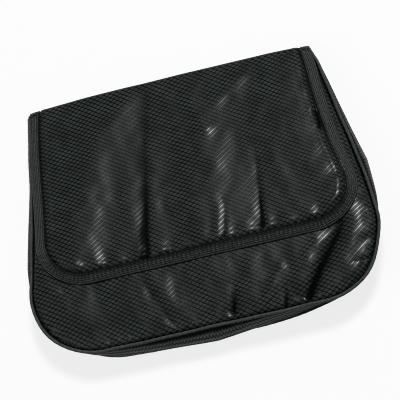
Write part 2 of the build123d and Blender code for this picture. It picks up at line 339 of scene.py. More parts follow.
@dataclass(frozen=True)
class ClothFinish:
    """A woven finish in two colours, with painted shade deep in its seams and creases.

    Attributes:
        name: The material's name.
        slot: The record's material slot; not used.
        dark: Colour between the threads, or of a ripstop's thick threads.
        light: Colour on the threads, or inside a ripstop's diamonds.
        rough_dark: Roughness where the cloth is dark.
        rough_light: Roughness where it is light.
        bump: Height of the weave in metres.
        warp: Pitch across in millimetres.
        weft: Pitch along in millimetres.
        fuzz: Share of loose fibre in the relief.
        ripstop: Whether the cloth has the diamond grid.
        sheen: Weight of the cloth's sheen.
        specular: Strength of the plain reflection.
        coat: Weight of the gloss that a ripstop's thick threads have.
        painted_shade: Colour of the painted shade deep in seams and creases.
    """

    name: str
    slot: str
    dark: Colour
    light: Colour
    rough_dark: float = 0.6
    rough_light: float = 0.45
    bump: float = 0.0002
    warp: float = 1.0
    weft: float = 1.0
    fuzz: float = 0.4
    ripstop: bool = False
    sheen: float = 0.0
    specular: float = 0.2
    coat: float = 0.0
    painted_shade: Colour = (0.0008, 0.0010, 0.0010)

    def material(self) -> bpy.types.Material:
        """The finish as a material, made once."""
        found = bpy.data.materials.get(self.name)
        return found or self.build()

    def build(self) -> bpy.types.Material:
        """Builds the material's nodes.

        Returns:
            The new material.
        """
        made = bpy.data.materials.new(self.name)
        made.use_nodes = True
        graph = Graph(made.node_tree)
        shader = made.node_tree.nodes["Principled BSDF"]
        mask, height, shade, gloss = self.pattern(graph)
        tinted = graph.mix(mask, rgba(self.dark), rgba(self.light))
        patchy = graph.mix(graph.ramp(shade, 0.3, 0.7, 0.0, 1.0), rgba(SHADE_LOW), rgba(SHADE_HIGH))
        # Painted shade: the third value stored with the cloth place darkens the colour towards a near-black
        # deep in seams, creases and gathers, and takes the coat's gloss away there
        painted_shade = graph.node("ShaderNodeSeparateXYZ", {0: graph.cloth_place()}).outputs[2]
        shaded = graph.mix(painted_shade, graph.mix(1.0, tinted, patchy, "MULTIPLY"), rgba(self.painted_shade))
        rough = graph.ramp(mask, 0.0, 1.0, self.rough_dark, self.rough_light)
        bump = graph.node("ShaderNodeBump", {"Strength": 1.0, "Distance": self.bump, "Height": height})
        graph.feed(shader.inputs["Base Color"], shaded)
        graph.feed(shader.inputs["Roughness"], rough)
        graph.feed(shader.inputs["Normal"], bump.outputs[0])
        shader.inputs["Specular IOR Level"].default_value = self.specular
        shader.inputs["Sheen Weight"].default_value = self.sheen
        shader.inputs["Sheen Roughness"].default_value = SHEEN_ROUGHNESS
        if self.coat:
            bare = graph.math("MULTIPLY_ADD", painted_shade, -self.coat, self.coat)
            graph.feed(shader.inputs["Coat Weight"], graph.math("MULTIPLY", gloss, bare))
            shader.inputs["Coat Roughness"].default_value = COAT_ROUGHNESS
        return made

    def pattern(self, graph: Graph) -> tuple[Socket, ...]:
        """The weave's light, height, shade and gloss.

        Args:
            graph: The material's graph.

        Returns:
            Four sockets: light, height, shade and gloss.
        """
        place = graph.cloth_place()
        name = "ripstop_weave" if self.ripstop else "plain_weave"
        maker = ripstop_group if self.ripstop else weave_group
        tree = bpy.data.node_groups.get(name) or maker()
        made = graph.node("ShaderNodeGroup", node_tree=tree)
        graph.feed(made.inputs["Place"], place)
        if self.ripstop:
            made.inputs["Diamond Width"].default_value = self.warp
            made.inputs["Diamond Height"].default_value = self.weft
            return tuple(made.outputs[key] for key in ("Light", "Height", "Shade", "Gloss"))
        made.inputs["Warp Pitch"].default_value = self.warp
        made.inputs["Weft Pitch"].default_value = self.weft
        made.inputs["Fuzz"].default_value = self.fuzz
        mask = graph.ramp(made.outputs["Height"], 0.15, 0.7, 0.0, 1.0)
        return mask, made.outputs["Height"], made.outputs["Shade"], mask


RIPSTOP = ClothFinish(
    "diamond_ripstop", "ripstop", (0.0006, 0.0009, 0.0008), (0.037, 0.045, 0.0415), 0.50, 0.45,
    bump=0.00022, warp=7.3, weft=5.2, ripstop=True, specular=0.0, coat=0.72,
)
PLAIN = ClothFinish(
    "plain_gusset_cloth", "plain_cloth", (0.008, 0.010, 0.009), (0.115, 0.130, 0.124), 0.7, 0.55,
    bump=0.0003, warp=3.6, weft=7.0, fuzz=0.5, specular=0.1,
)
EDGE_TAPE = ClothFinish(
    "edge_binding_tape", "edge_tape", (0.001, 0.002, 0.002), (0.066, 0.077, 0.073), 0.62, 0.45,
    bump=0.0004, warp=2.1, weft=1.9, fuzz=0.9, specular=0.1,
)
CORD_COVER = ClothFinish(
    "piping_cloth", "piping_cover", (0.016, 0.020, 0.018), (0.062, 0.074, 0.069), 0.5, 0.38, specular=0.2
)
SEAM_TAPE = ClothFinish("seam_binding_tape", "seam_tape", (0.012, 0.013, 0.013), (0.034, 0.036, 0.036))
LINING = ClothFinish("lining_nylon", "lining_cloth", (0.012, 0.013, 0.014), (0.026, 0.028, 0.029), 0.5, 0.4)
LOOP_PILE = ClothFinish(
    "loop_pile", "loop_tape", (0.008, 0.008, 0.008), (0.030, 0.031, 0.031), 0.95, 0.9,
    bump=0.0006, warp=0.9, weft=0.9, fuzz=1.0, sheen=0.3,
)
HOOK_BASE = ClothFinish("hook_base", "hook_tape", (0.010, 0.010, 0.011), (0.024, 0.024, 0.025), 0.5, 0.4)
WEBBING = ClothFinish(
    "strap_webbing", "webbing", (0.013, 0.014, 0.014), (0.040, 0.042, 0.041), 0.6, 0.45,
    bump=0.0004, warp=1.6, weft=2.4, fuzz=0.3,
)
THREAD = ClothFinish(
    "sewing_thread", "edge_tape", (0.010, 0.012, 0.011), (0.026, 0.030, 0.028), 0.5, 0.4,
    bump=0.00005, specular=0.1,
)


# Shares and waves that the forms are made of


def fade(value: Array, start: float, length: float) -> Array:
    """A straight rise.

    Args:
        value: Values to place on it.
        start: Where it leaves 0.
        length: How much further it reaches 1.

    Returns:
        Shares from 0 to 1.
    """
    return np.clip((value - start) / length, 0, 1)


def eased(share: Array) -> Array:
    """A share that starts and ends level."""
    return share * share * (3 - 2 * share)


def hill(value: Array, middle: float, width: float) -> Array:
    """A round hill that is 1 at its middle.

    Args:
        value: Values to place on it.
        middle: Where it is highest.
        width: How far its flank spreads.

    Returns:
        Shares from 0 to 1.
    """
    return np.exp(-(((value - middle) / width) ** 2))


def joined(*parts: Array) -> Array:
    """Joins coordinates whose shapes match into places."""
    return np.stack(np.broadcast_arrays(*parts), -1)


def beside(place: Array, normal: Array, out: Array) -> Array:
    """Places beside a line, some way out along its normals.

    Args:
        place: Places on the line, with two columns.
        normal: Unit normals there.
        out: Distances, with one row or as many as the line has places.

    Returns:
        Places with shape places on the line, distances, 2.
    """
    return place[:, None, :] + normal[:, None, :] * out[..., None]


@dataclass(frozen=True)
class Ripple:
    """An even wave along a run of cloth.

    Attributes:
        height: Half of the distance from trough to crest.
        wave: Length over which it turns by one radian.
        phase: Its turn at the start, in radians.
    """

    height: float
    wave: float
    phase: float = 0.0

    def at(self, run: Array, lag: Array | float = 0.0) -> Array:
        """The wave's height at lengths along the run.

        Args:
            run: The lengths.
            lag: A further turn in radians.

        Returns:
            Heights about zero.
        """
        return self.height * np.sin(run / self.wave + self.phase + lag)


@dataclass(frozen=True)
class Pucker:
    """Gathers along a seam, strongest at one distance from it.

    Attributes:
        ripple: The gathers.
        middle: Distance from the edge at which they are strongest.
        spread: How far they reach to both sides of it.
    """

    ripple: Ripple
    middle: float
    spread: float

    def at(self, run: Array, inset: Array) -> Array:
        """The gathers' height.

        Args:
            run: Lengths along the seam.
            inset: Distances from the edge.

        Returns:
            Heights about zero.
        """
        return self.ripple.at(run) * hill(inset, self.middle, self.spread)


@dataclass(frozen=True)
class Groove:
    """A hollow along a line, or a shade that lies in it.

    Attributes:
        depth: How deep it is.
        middle: Where its line runs.
        width: How far its flank spreads.
    """

    depth: float
    middle: float
    width: float

    def at(self, value: Array) -> Array:
        """Its depth at places across it."""
        return self.depth * hill(value, self.middle, self.width)


@dataclass(frozen=True)
class Pull:
    """Slack cloth drawn in about a place.

    Attributes:
        x: Place along X.
        y: Place along Y.
        reach: Distance over which the pull falls off.
        size: How far it draws at its middle.
    """

    x: float
    y: float
    reach: float
    size: float

    def at(self, x: Array, y: Array) -> Array:
        """How far the pull draws at places.

        Args:
            x: Places along X.
            y: Places along Y.

        Returns:
            The distances.
        """
        return self.size * np.exp(-((x - self.x) ** 2 + (y - self.y) ** 2) / self.reach**2)


# Plan shapes

# Places less than this far above an outline's lowest line count as on its bottom
BOTTOM_BAND = 30.0


@dataclass(frozen=True)
class FlaredOutline:
    """A flared U in plan: straight top, leaning sides and round lower corners.

    Attributes:
        top_half: Half of the width along the top.
        bottom_half: Half of the width that the sides would reach at the bottom.
        height: Height of the outline.
        corner: Radius of the lower corners.
        top_y: Y of the top line.
    """

    top_half: float
    bottom_half: float
    height: float
    corner: float
    top_y: float

    def grown(self, grow: float, start: float = 0.0) -> "FlaredOutline":
        """The outline grown evenly, with its top line moved along Y.

        Args:
            grow: How far every side moves out.
            start: How far the top line moves up.

        Returns:
            The new outline.
        """
        lean = math.atan2(self.bottom_half - self.top_half, self.height)
        widened = self.top_half + grow / math.cos(lean)
        upper = widened - math.tan(lean) * start
        lower = widened + math.tan(lean) * (self.height + grow)
        return FlaredOutline(upper, lower, self.height + grow + start, self.corner + grow, self.top_y + start)

    @property
    def lean(self) -> float:
        """Angle of a side from the Y axis."""
        return math.atan2(self.bottom_half - self.top_half, self.height)

    @property
    def lengths(self) -> tuple[float, float, float]:
        """Lengths of one side's straight run, one corner and half of the bottom."""
        turn = math.pi / 2 + self.lean
        tangent = self.corner * math.tan(turn / 2)
        side = math.hypot(self.bottom_half - self.top_half, self.height) - tangent
        return side, self.corner * turn, self.bottom_half - tangent

    @property
    def total(self) -> float:
        """Length of the whole U."""
        return 2 * sum(self.lengths)

    def at(self, run: Array) -> tuple[Array, Array]:
        """Places and outward normals at lengths along the U from its top left.

        Args:
            run: Lengths along the U.

        Returns:
            Places and normals, each with two columns.
        """
        side, arc, _ = self.lengths
        mirrored = run > self.total / 2
        near = np.where(mirrored, self.total - run, run)
        sin, cos = math.sin(self.lean), math.cos(self.lean)
        foot = self.top_y - self.height
        tangent = self.corner * math.tan((math.pi / 2 + self.lean) / 2)
        centre = (-self.bottom_half + tangent, foot + self.corner)
        angle = math.pi - self.lean + np.clip((near - side) / self.corner, 0, arc / self.corner)
        bend = np.stack([centre[0] + self.corner * np.cos(angle), centre[1] + self.corner * np.sin(angle)], 1)
        down = np.stack([-self.top_half - sin * near, self.top_y - cos * near], 1)
        flat = np.stack([centre[0] + (near - side - arc), np.full_like(near, foot)], 1)
        place = np.where((near < side)[:, None], down, np.where((near < side + arc)[:, None], bend, flat))
        normal = np.stack([np.cos(angle), np.sin(angle)], 1)
        flip = np.where(mirrored, -1.0, 1.0)
        place[:, 0] *= flip
        normal[:, 0] *= flip
        return place, normal

    def inset(self, x: Array, y: Array) -> Array:
        """Distance inwards from the U at places, negative outside it.

        Args:
            x: Places along X.
            y: Places along Y.

        Returns:
            The distances.
        """
        sin, cos = math.sin(self.lean), math.cos(self.lean)
        side = np.abs(x)
        drop = self.top_y - y
        from_side = (self.top_half - side) * cos + drop * sin
        from_foot = self.height - drop
        tangent = self.corner * math.tan((math.pi / 2 + self.lean) / 2)
        across = side - (self.bottom_half - tangent)
        down = drop - (self.height - self.corner)
        in_corner = (across > 0) & (across * sin + down * cos > 0)
        return np.where(in_corner, self.corner - np.hypot(across, down), np.minimum(from_side, from_foot))

    def edge_run(self, x: Array, y: Array) -> Array:
        """A rough length along the U for places near it.

        Args:
            x: Places along X.
            y: Places along Y.

        Returns:
            X along the bottom, and Y along the sides.
        """
        return np.where(y < self.top_y - self.height + BOTTOM_BAND, x, y)

    def net(self, across: int, along: int) -> Array:
        """A smooth net of places that fills the outline.

        Args:
            across: Number of places across.
            along: Number of places down.

        Returns:
            Places with shape across, along, 2, from top left.
        """
        side, arc, half = self.lengths
        edge = side + arc / 2
        u = np.linspace(0, 1, across)[:, None, None]
        v = np.linspace(0, 1, along)[None, :, None]
        left = self.at(v.ravel() * edge)[0][None, :, :]
        right = self.at(self.total - v.ravel() * edge)[0][None, :, :]
        bottom = self.at(edge + u.ravel() * (arc + 2 * half))[0][:, None, :]
        top = np.stack([(2 * u.ravel() - 1) * self.top_half, np.full(across, self.top_y)], 1)[:, None, :]
        corners = (1 - u) * (1 - v) * left[:, :1] + u * (1 - v) * right[:, :1]
        corners = corners + (1 - u) * v * left[:, -1:] + u * v * right[:, -1:]
        return (1 - v) * top + v * bottom + (1 - u) * left + u * right - corners


@dataclass(frozen=True)
class Fold:
    """A soft ridge, or with a negative rise a valley, along a short run of places.

    Attributes:
        places: Places on the cloth that the fold runs through.
        rise: Height at its fullest.
        width: How far its flank spreads.
        start: Share of the rise at the first place.
        end: Share of the rise at the last place.
        pinch: 0 for a round form, 1 for a sharp one.
        lean: How much wider the flank on the right of the run is than the other.
    """

    places: tuple[tuple[float, float], ...]
    rise: float
    width: float
    start: float = 0.3
    end: float = 1.0
    pinch: float = 0.0
    lean: float = 0.0

    def height(self, x: Array, y: Array) -> Array:
        """The fold's height at places on the cloth.

        Args:
            x: Places along X.
            y: Places along Y.

        Returns:
            Heights, positive upwards.
        """
        best = np.full(x.shape, 1e9)
        share = np.zeros(x.shape)
        side = np.zeros(x.shape)
        runs = list(zip(self.places[:-1], self.places[1:]))
        for index, ((ax, ay), (bx, by)) in enumerate(runs):
            dx, dy = bx - ax, by - ay
            t = np.clip(((x - ax) * dx + (y - ay) * dy) / (dx * dx + dy * dy), 0, 1)
            gap = np.hypot(x - ax - t * dx, y - ay - t * dy)
            nearer = gap < best
            best = np.where(nearer, gap, best)
            share = np.where(nearer, (index + t) / len(runs), share)
            side = np.where(nearer, np.sign(dy * (x - ax) - dx * (y - ay)), side)
        scaled = (best / self.width / (1 + self.lean * side)) ** 2
        form = (1 - self.pinch) * np.exp(-scaled) + self.pinch / (1 + 2.5 * scaled) ** 1.5
        return self.rise * (self.start + (self.end - self.start) * share) * form


# Only valleys narrower than this are creases with painted shade
NARROW = 10
# Above 1, so that a crease's painted shade is full a little before its ground
CREASE_GAIN = 1.35


def crease_shade(folds: tuple[Fold, ...], x: Array, y: Array, full: float) -> Array:
    """Painted shade in the narrow valleys among some folds, from how deep places lie in them.

    Args:
        folds: The folds of one piece.
        x: Places along X.
        y: Places along Y.
        full: Depth from which a valley's painted shade is full at its ground.

    Returns:
        Shares from 0 to 1.
    """
    narrow = [fold for fold in folds if fold.rise < 0 and fold.width < NARROW]
    shares = [fold.height(x, y) / -max(full, -fold.rise) for fold in narrow]
    return np.clip(CREASE_GAIN * np.max(shares, axis=0), 0, 1) ** 2


@dataclass(frozen=True)
class Crumple:
    """Small uneven waves, the sum of seeded ripples.

    Attributes:
        seed: Seed of the ripples.
        size: Mean height.
        longest: Longest wave.
        shortest: Shortest wave.
        grain: Direction that ripples run across, in degrees from X.
        spread: How far directions stray from it, in degrees.
        count: Number of ripples.
    """

    seed: int
    size: float
    longest: float
    shortest: float
    grain: float = 0.0
    spread: float = 90.0
    count: int = 14

    def height(self, x: Array, y: Array) -> Array:
        """The waves' height at places.

        Args:
            x: Places along X.
            y: Places along Y.

        Returns:
            Heights about zero.
        """
        random = np.random.default_rng(self.seed)
        total = np.zeros(np.broadcast(x, y).shape)
        for _ in range(self.count):
            wave = math.exp(random.uniform(math.log(self.shortest), math.log(self.longest)))
            turn = math.radians(self.grain + random.uniform(-self.spread, self.spread))
            phase = random.uniform(0, 2 * math.pi)
            step = 2 * math.pi / wave
            total += np.sin(step * (x * math.cos(turn) + y * math.sin(turn)) + phase) * wave / self.longest
        return total * self.size * 2 / math.sqrt(self.count)


# Mesh making


def store_cloth(mesh: bpy.types.Mesh, weave: Array) -> None:
    """Keeps each vertex's place on the flat cloth, in millimetres.

    Args:
        mesh: The mesh that gets the attribute.
        weave: Places with two columns, and a third of painted shade that is 1 deep in a seam and 0 outside
            it.
    """
    made = mesh.attributes.new(CLOTH_ATTRIBUTE, "FLOAT_VECTOR", "POINT")
    rows = np.zeros((len(weave), 3), np.float32)
    rows[:, : weave.shape[-1]] = weave
    made.data.foreach_set("vector", rows.ravel())


def make_piece(
    name: str, points: Array, faces: list[list[int]], weave: Array, finish: ClothFinish, sharp: int = 0
) -> Piece:
    """Makes an object from points in millimetres.

    Args:
        name: The piece's name.
        points: Vertices with three columns.
        faces: Vertex indices of each face.
        weave: Place on the flat cloth of each vertex.
        finish: The finish that covers it.
        sharp: How many faces at the end of the list stay flat shaded.

    Returns:
        The new object.
    """
    mesh = bpy.data.meshes.new(name)
    mesh.from_pydata((points * METRES).tolist(), [], faces)
    smooth = np.ones(len(mesh.polygons), bool)
    if sharp:
        smooth[-sharp:] = False
    mesh.polygons.foreach_set("use_smooth", smooth)
    store_cloth(mesh, weave)
    mesh.materials.append(finish.material())
    mesh.validate()
    mesh.update()
    made = bpy.data.objects.new(name, mesh)
    bpy.context.scene.collection.objects.link(made)
    log.info("%s: %d vertices", name, len(points))
    return made


def grid_normals(points: Array) -> Array:
    """Unit normals of a net of places, on the side where across, along and up turn right-handed."""
    du = np.gradient(points, axis=0)
    dv = np.gradient(points, axis=1)
    normal = np.cross(du, dv)
    return normal / np.maximum(np.linalg.norm(normal, axis=2, keepdims=True), 1e-9)


def sheet_piece(name: str, face: Array, weave: Array, thickness: float, finish: ClothFinish) -> Piece:
    """A closed sheet under a net of places, thickened away from the net's outer side.

    Args:
        name: The piece's name.
        face: The outer side's places, with shape across, along, 3, running left to right and down.
        weave: Places on the flat cloth, with shape across, along, and two columns or three.
        thickness: Thickness of the cloth.
        finish: The finish that covers it.

    Returns:
        The new object.
    """
    across, along = face.shape[:2]
    outward = -grid_normals(face)
    under = face - outward * thickness
    points = np.concatenate([face.reshape(-1, 3), under.reshape(-1, 3)])
    index = np.arange(across * along).reshape(across, along)
    quads = np.stack([index[:-1, :-1], index[:-1, 1:], index[1:, 1:], index[1:, :-1]], -1).reshape(-1, 4)
    lower = quads[:, ::-1] + across * along
    border = np.concatenate([index[:, 0], index[-1, 1:], index[-2::-1, -1], index[0, -2:0:-1]])
    beyond = np.roll(border, -1)
    rim = np.stack([border, beyond, beyond + across * along, border + across * along], 1)
    faces = np.concatenate([quads, lower, rim]).tolist()
    both = np.concatenate([weave.reshape(-1, weave.shape[-1])] * 2)
    return make_piece(name, points, faces, both, finish, sharp=len(rim))


def tube_piece(name: str, rings: Array, weave: Array, finish: ClothFinish) -> Piece:
    """A closed form through rings of places, with its ends capped.

    Args:
        name: The piece's name.
        rings: Places with shape stations, places round, 3.
        weave: Places on the flat cloth, with shape stations, places round, and two columns or three.
        finish: The finish that covers it.

    Returns:
        The new object.
    """
    stations, round_count = rings.shape[:2]
    index = np.arange(stations * round_count).reshape(stations, round_count)
    after = np.roll(index, -1, axis=1)
    quads = np.stack([index[:-1], after[:-1], after[1:], index[1:]], -1).reshape(-1, 4).tolist()
    caps = [index[0, ::-1].tolist(), index[-1].tolist()]
    points = rings.reshape(-1, 3)
    made = make_piece(name, points, quads + caps, weave.reshape(-1, weave.shape[-1]), finish, sharp=2)
    volume = signed_volume(made.data)
    if volume < 0:
        made.data.flip_normals()
    return made


def signed_volume(mesh: bpy.types.Mesh) -> float:
    """Volume inside a closed mesh, negative where its faces point inwards."""
    mesh.calc_loop_triangles()
    corners = np.zeros(len(mesh.loop_triangles) * 3, np.int32)
    mesh.loop_triangles.foreach_get("vertices", corners)
    places = np.zeros(len(mesh.vertices) * 3)
    mesh.vertices.foreach_get("co", places)
    a, b, c = places.reshape(-1, 3)[corners].reshape(-1, 3, 3).transpose(1, 0, 2)
    return float(np.einsum("ij,ij->i", a, np.cross(b, c)).sum() / 6)


# Geometry Nodes for what repeats


def set_input(modifier: bpy.types.NodesModifier, tree: NodeTree, name: str, value: object) -> None:
    """Sets a modifier's input through its socket's identifier."""
    for item in tree.interface.items_tree:
        if item.item_type == "SOCKET" and item.in_out == "INPUT" and item.name == name:
            modifier[item.identifier] = value


def bake_tree(
    name: str, source: bpy.types.Mesh, tree: NodeTree, values: dict[str, object]
) -> Piece:
    """Runs a tree on a mesh and keeps the result as a plain piece.

    Args:
        name: The piece's name.
        source: The mesh that goes in.
        tree: The tree to run.
        values: Input name to value.

    Returns:
        The new object.
    """
    made = bpy.data.objects.new(name, source)
    bpy.context.scene.collection.objects.link(made)
    modifier = made.modifiers.new("repeat", "NODES")
    modifier.node_group = tree
    for key, value in values.items():
        set_input(modifier, tree, key, value)
    evaluated = made.evaluated_get(bpy.context.evaluated_depsgraph_get())
    result = bpy.data.meshes.new_from_object(evaluated)
    made.modifiers.remove(modifier)
    made.data = result
    result.name = name
    log.info("%s: %d vertices", name, len(result.vertices))
    return made


def geometry_tree(name: str, inputs: Sockets) -> Group:
    """Starts a geometry tree with a geometry in and out.

    Args:
        name: The tree's name.
        inputs: Further input name to its socket type and default.

    Returns:
        The tree, its graph, and its input and output nodes.
    """
    sockets = {"Geometry": (GEOMETRY, None), **inputs}
    return new_group(name, sockets, {"Geometry": GEOMETRY}, "GeometryNodeTree")


def stitch_tree() -> NodeTree:
    """Stitches laid end to end along a line of edges.

    Returns:
        The tree, whose line is a mesh of edges.
    """
    found = bpy.data.node_groups.get("stitch_run")
    if found:
        return found
    tree, graph, start, end = geometry_tree(
        "stitch_run",
        {
            "Pitch": (FLOAT, 0.003),
            "Stitch Length": (FLOAT, 0.0022),
            "Thread Radius": (FLOAT, 0.0003),
            "Thread": ("NodeSocketMaterial", None),
        },
    )
    line = graph.node("GeometryNodeMeshToCurve", {"Mesh": start.outputs["Geometry"]})
    even = graph.node("GeometryNodeResampleCurve", {"Curve": line.outputs[0]}, mode="LENGTH")
    graph.feed(even.inputs["Length"], start.outputs["Pitch"])
    bead = graph.node("GeometryNodeMeshUVSphere", {"Segments": 6, "Rings": 4})
    graph.feed(bead.inputs["Radius"], start.outputs["Thread Radius"])
    ratio = graph.math("DIVIDE", start.outputs["Stitch Length"], start.outputs["Thread Radius"])
    stretch = graph.node("ShaderNodeCombineXYZ", {0: 1.0, 1: 1.0, 2: graph.math("MULTIPLY", ratio, 0.5)})
    tangent = graph.node("GeometryNodeInputTangent")
    turn = graph.node("FunctionNodeAlignRotationToVector", {"Vector": tangent.outputs[0]}, axis="Z")
    placed = graph.node("GeometryNodeInstanceOnPoints", {"Points": even.outputs[0]})
    graph.feed(placed.inputs["Instance"], bead.outputs["Mesh"])
    graph.feed(placed.inputs["Rotation"], turn.outputs[0])
    graph.feed(placed.inputs["Scale"], stretch.outputs[0])
    real = graph.node("GeometryNodeRealizeInstances", {0: placed.outputs[0]})
    smooth = graph.node("GeometryNodeSetShadeSmooth", {"Geometry": real.outputs[0]})
    dressed = graph.node("GeometryNodeSetMaterial", {"Geometry": smooth.outputs[0]})
    graph.feed(dressed.inputs["Material"], start.outputs["Thread"])
    graph.feed(end.inputs[0], dressed.outputs[0])
    return tree


def hook_tree() -> NodeTree:
    """A small leaning hook on every vertex of a sheet of points.

    Returns:
        The tree, whose points are a mesh's vertices.
    """
    found = bpy.data.node_groups.get("hook_field")
    if found:
        return found
    tree, graph, start, end = geometry_tree(
        "hook_field",
        {
            "Hook Height": (FLOAT, 0.0008),
            "Hook Radius": (FLOAT, 0.00018),
            "Lean": (FLOAT, 0.35),
            "Downward": ("NodeSocketBool", True),
            "Seed": ("NodeSocketInt", 7),
            "Plastic": ("NodeSocketMaterial", None),
        },
    )
    hook = graph.node("GeometryNodeMeshCone", {"Vertices": 5})
    graph.feed(hook.inputs["Radius Bottom"], start.outputs["Hook Radius"])
    graph.feed(hook.inputs["Radius Top"], graph.math("MULTIPLY", start.outputs["Hook Radius"], 0.5))
    graph.feed(hook.inputs["Depth"], start.outputs["Hook Height"])
    wander = graph.node("FunctionNodeRandomValue", data_type="FLOAT")
    graph.feed(wander.inputs[2], graph.math("MULTIPLY", start.outputs["Lean"], -1.0))
    graph.feed(wander.inputs[3], start.outputs["Lean"])
    graph.feed(wander.inputs["Seed"], start.outputs["Seed"])
    flip = graph.math("MULTIPLY", start.outputs["Downward"], math.pi)
    tilt = graph.node("ShaderNodeCombineXYZ", {0: graph.math("ADD", flip, wander.outputs[1]), 1: 0.0, 2: 0.0})
    placed = graph.node("GeometryNodeInstanceOnPoints", {"Points": start.outputs["Geometry"]})
    graph.feed(placed.inputs["Instance"], hook.outputs["Mesh"])
    graph.feed(placed.inputs["Rotation"], tilt.outputs[0])
    real = graph.node("GeometryNodeRealizeInstances", {0: placed.outputs[0]})
    dressed = graph.node("GeometryNodeSetMaterial", {"Geometry": real.outputs[0]})
    graph.feed(dressed.inputs["Material"], start.outputs["Plastic"])
    graph.feed(end.inputs[0], dressed.outputs[0])
    return tree


# Share of the pitch that a stitch covers
STITCH_SHARE = 0.72


def stitch_piece(name: str, line: Array, pitch: float = 3.0, radius: float = 0.3) -> Piece:
    """A run of stitches along a line in millimetres.

    Args:
        name: The piece's name.
        line: Places along the seam, with three columns.
        pitch: Distance between stitches.
        radius: Radius of the thread.

    Returns:
        The new object.
    """
    mesh = bpy.data.meshes.new(name + "_line")
    edges = [(i, i + 1) for i in range(len(line) - 1)]
    mesh.from_pydata((line * METRES).tolist(), edges, [])
    values = {
        "Pitch": pitch * METRES,
        "Stitch Length": STITCH_SHARE * pitch * METRES,
        "Thread Radius": radius * METRES,
        "Thread": THREAD.material(),
    }
    return bake_tree(name, mesh, stitch_tree(), values)


def hook_piece(name: str, places: Array, height: float, downward: bool, seed: int) -> Piece:
    """Hooks on places in millimetres.

    Args:
        name: The piece's name.
        places: Where the hooks stand, with three columns.
        height: Height of a hook.
        downward: Whether they point at the table.
        seed: Seed of the way they lean.

    Returns:
        The new object.
    """
    mesh = bpy.data.meshes.new("hook_points")
    mesh.from_pydata((places * METRES).tolist(), [], [])
    values = {
        "Plastic": HOOK_BASE.material(),
        "Seed": seed,
        "Hook Height": height * METRES,
        "Downward": downward,
    }
    return bake_tree(name, mesh, hook_tree(), values)


# The pouch's forms


@dataclass(frozen=True)
class PouchForm:
    """Sizes that every sub-assembly shares, and the soft shape of the front.

    Attributes:
        panel: Outline of the front panel along its seam.
        back: Outline of the back panel, which has rounder corners.
        flap: Outline of the flap, from its front fold.
        back_z: Height of the back panel's outer face.
        mouth_z: Height of the front seam at the mouth.
        bottom_z: Height of the front seam at the bottom.
        crown: How far the front stands above its seam at the middle.
        rim: How far it stands above its seam at the ends.
        shoulder: How far in from the seam the front is round.
        sway: How far the front leans to the left at the mouth and to the right at the bottom.
        sway_end: Share of the way down at which it has swayed to the right.
        sway_top: Share of the front seam's height up to which the sway grows.
        bow: How far the folded top bulges up the pouch and out of it, at its middle.
        bow_reach: How far down the pouch the bow dies away.
        bow_half: Half of the width that the bow spans.
        bow_full: Height above the table from which the bow is full.
        notch: How far the folded top's right corner is drawn in.
        notch_start: X from which that corner is drawn in.
        notch_width: Distance along X in which the notch grows to its size.
        notch_reach: How far down the pouch the notch dies away.
        tucked: Slack at the lower right corner, which is drawn in.
        tuck_way: How far along X and Y that slack moves for each millimetre.
        drawn: Slack at the back of the bottom's right end, which is drawn up along Y.
        drawn_top: Height above the table at which nothing is drawn up any more.
    """

    panel: FlaredOutline = FlaredOutline(158.0, 200.0, 287.0, 72.0, 146.925)
    back: FlaredOutline = FlaredOutline(158.0, 200.0, 287.0, 96.0, 146.925)
    flap: FlaredOutline = FlaredOutline(160.0, 184.0, 216.0, 55.0, 148.675)
    back_z: float = 3.8
    mouth_z: float = 24.7
    bottom_z: float = 37.7
    crown: float = 8.6
    rim: float = 1.8
    shoulder: float = 30.0
    sway: tuple[float, float] = (2.5, 4.5)
    sway_end: float = 0.55
    sway_top: float = 1.2
    bow: tuple[float, float] = (3.2, 0.6)
    bow_reach: float = 30.0
    bow_half: float = 163.0
    bow_full: float = 25.0
    notch: float = 4.0
    notch_start: float = 110.0
    notch_width: float = 50.0
    notch_reach: float = 15.0
    tucked: Pull = Pull(194.0, -94.0, 36.0, 4.5)
    tuck_way: tuple[float, float] = (-0.85, 0.5)
    drawn: Pull = Pull(106.0, -142.0, 31.0, 4.8)
    drawn_top: float = 26.0

    def depth(self, y: Array) -> Array:
        """Share of the way down the pouch, from 0 at the mouth."""
        return np.clip((self.panel.top_y - y) / self.panel.height, 0, 1.05)

    def seam_z(self, y: Array) -> Array:
        """Height of the front seam at a place along Y."""
        return self.mouth_z + (self.bottom_z - self.mouth_z) * self.depth(y)

    def front_z(self, x: Array, y: Array) -> Array:
        """Height of the rounded front, without its wrinkles.

        Args:
            x: Places along X.
            y: Places along Y.

        Returns:
            Heights above the table.
        """
        share = np.clip(self.depth(y), 0, 1)
        rise = self.rim + 4 * self.crown * share * (1 - share)
        side = fade(self.panel.inset(x, y), 0, self.shoulder)
        return self.seam_z(y) + rise * np.sqrt(1 - (1 - side) ** 2)

    def settle(self, points: Array) -> Array:
        """Sways places sideways, bows the folded top and draws in the slack corners.

        Args:
            points: Places with three columns at the end.

        Returns:
            The moved places.
        """
        x, y, z = points[..., 0], points[..., 1], points[..., 2]
        low, high = self.sway
        sway = (low + high) * eased(fade(self.depth(y), 0, self.sway_end)) - low
        drop = self.flap.top_y - y
        span = 1 - fade(np.abs(x), 0, self.bow_half) ** 4
        bulge = hill(drop, 0, self.bow_reach) * span * fade(z, 0, self.bow_full)
        corner = fade(x, self.notch_start, self.notch_width) ** 2 * hill(drop, 0, self.notch_reach)
        tuck = self.tucked.at(x, y)
        under = self.drawn.at(x, y) * (1 - fade(z, 0, self.drawn_top))
        moved = points.copy()
        moved[..., 0] += sway * np.clip(z / self.bottom_z, 0, self.sway_top)
        moved[..., 0] += self.tuck_way[0] * tuck - self.notch * corner
        moved[..., 1] += self.bow[0] * bulge + self.tuck_way[1] * tuck + under
        moved[..., 2] += self.bow[1] * bulge
        return moved


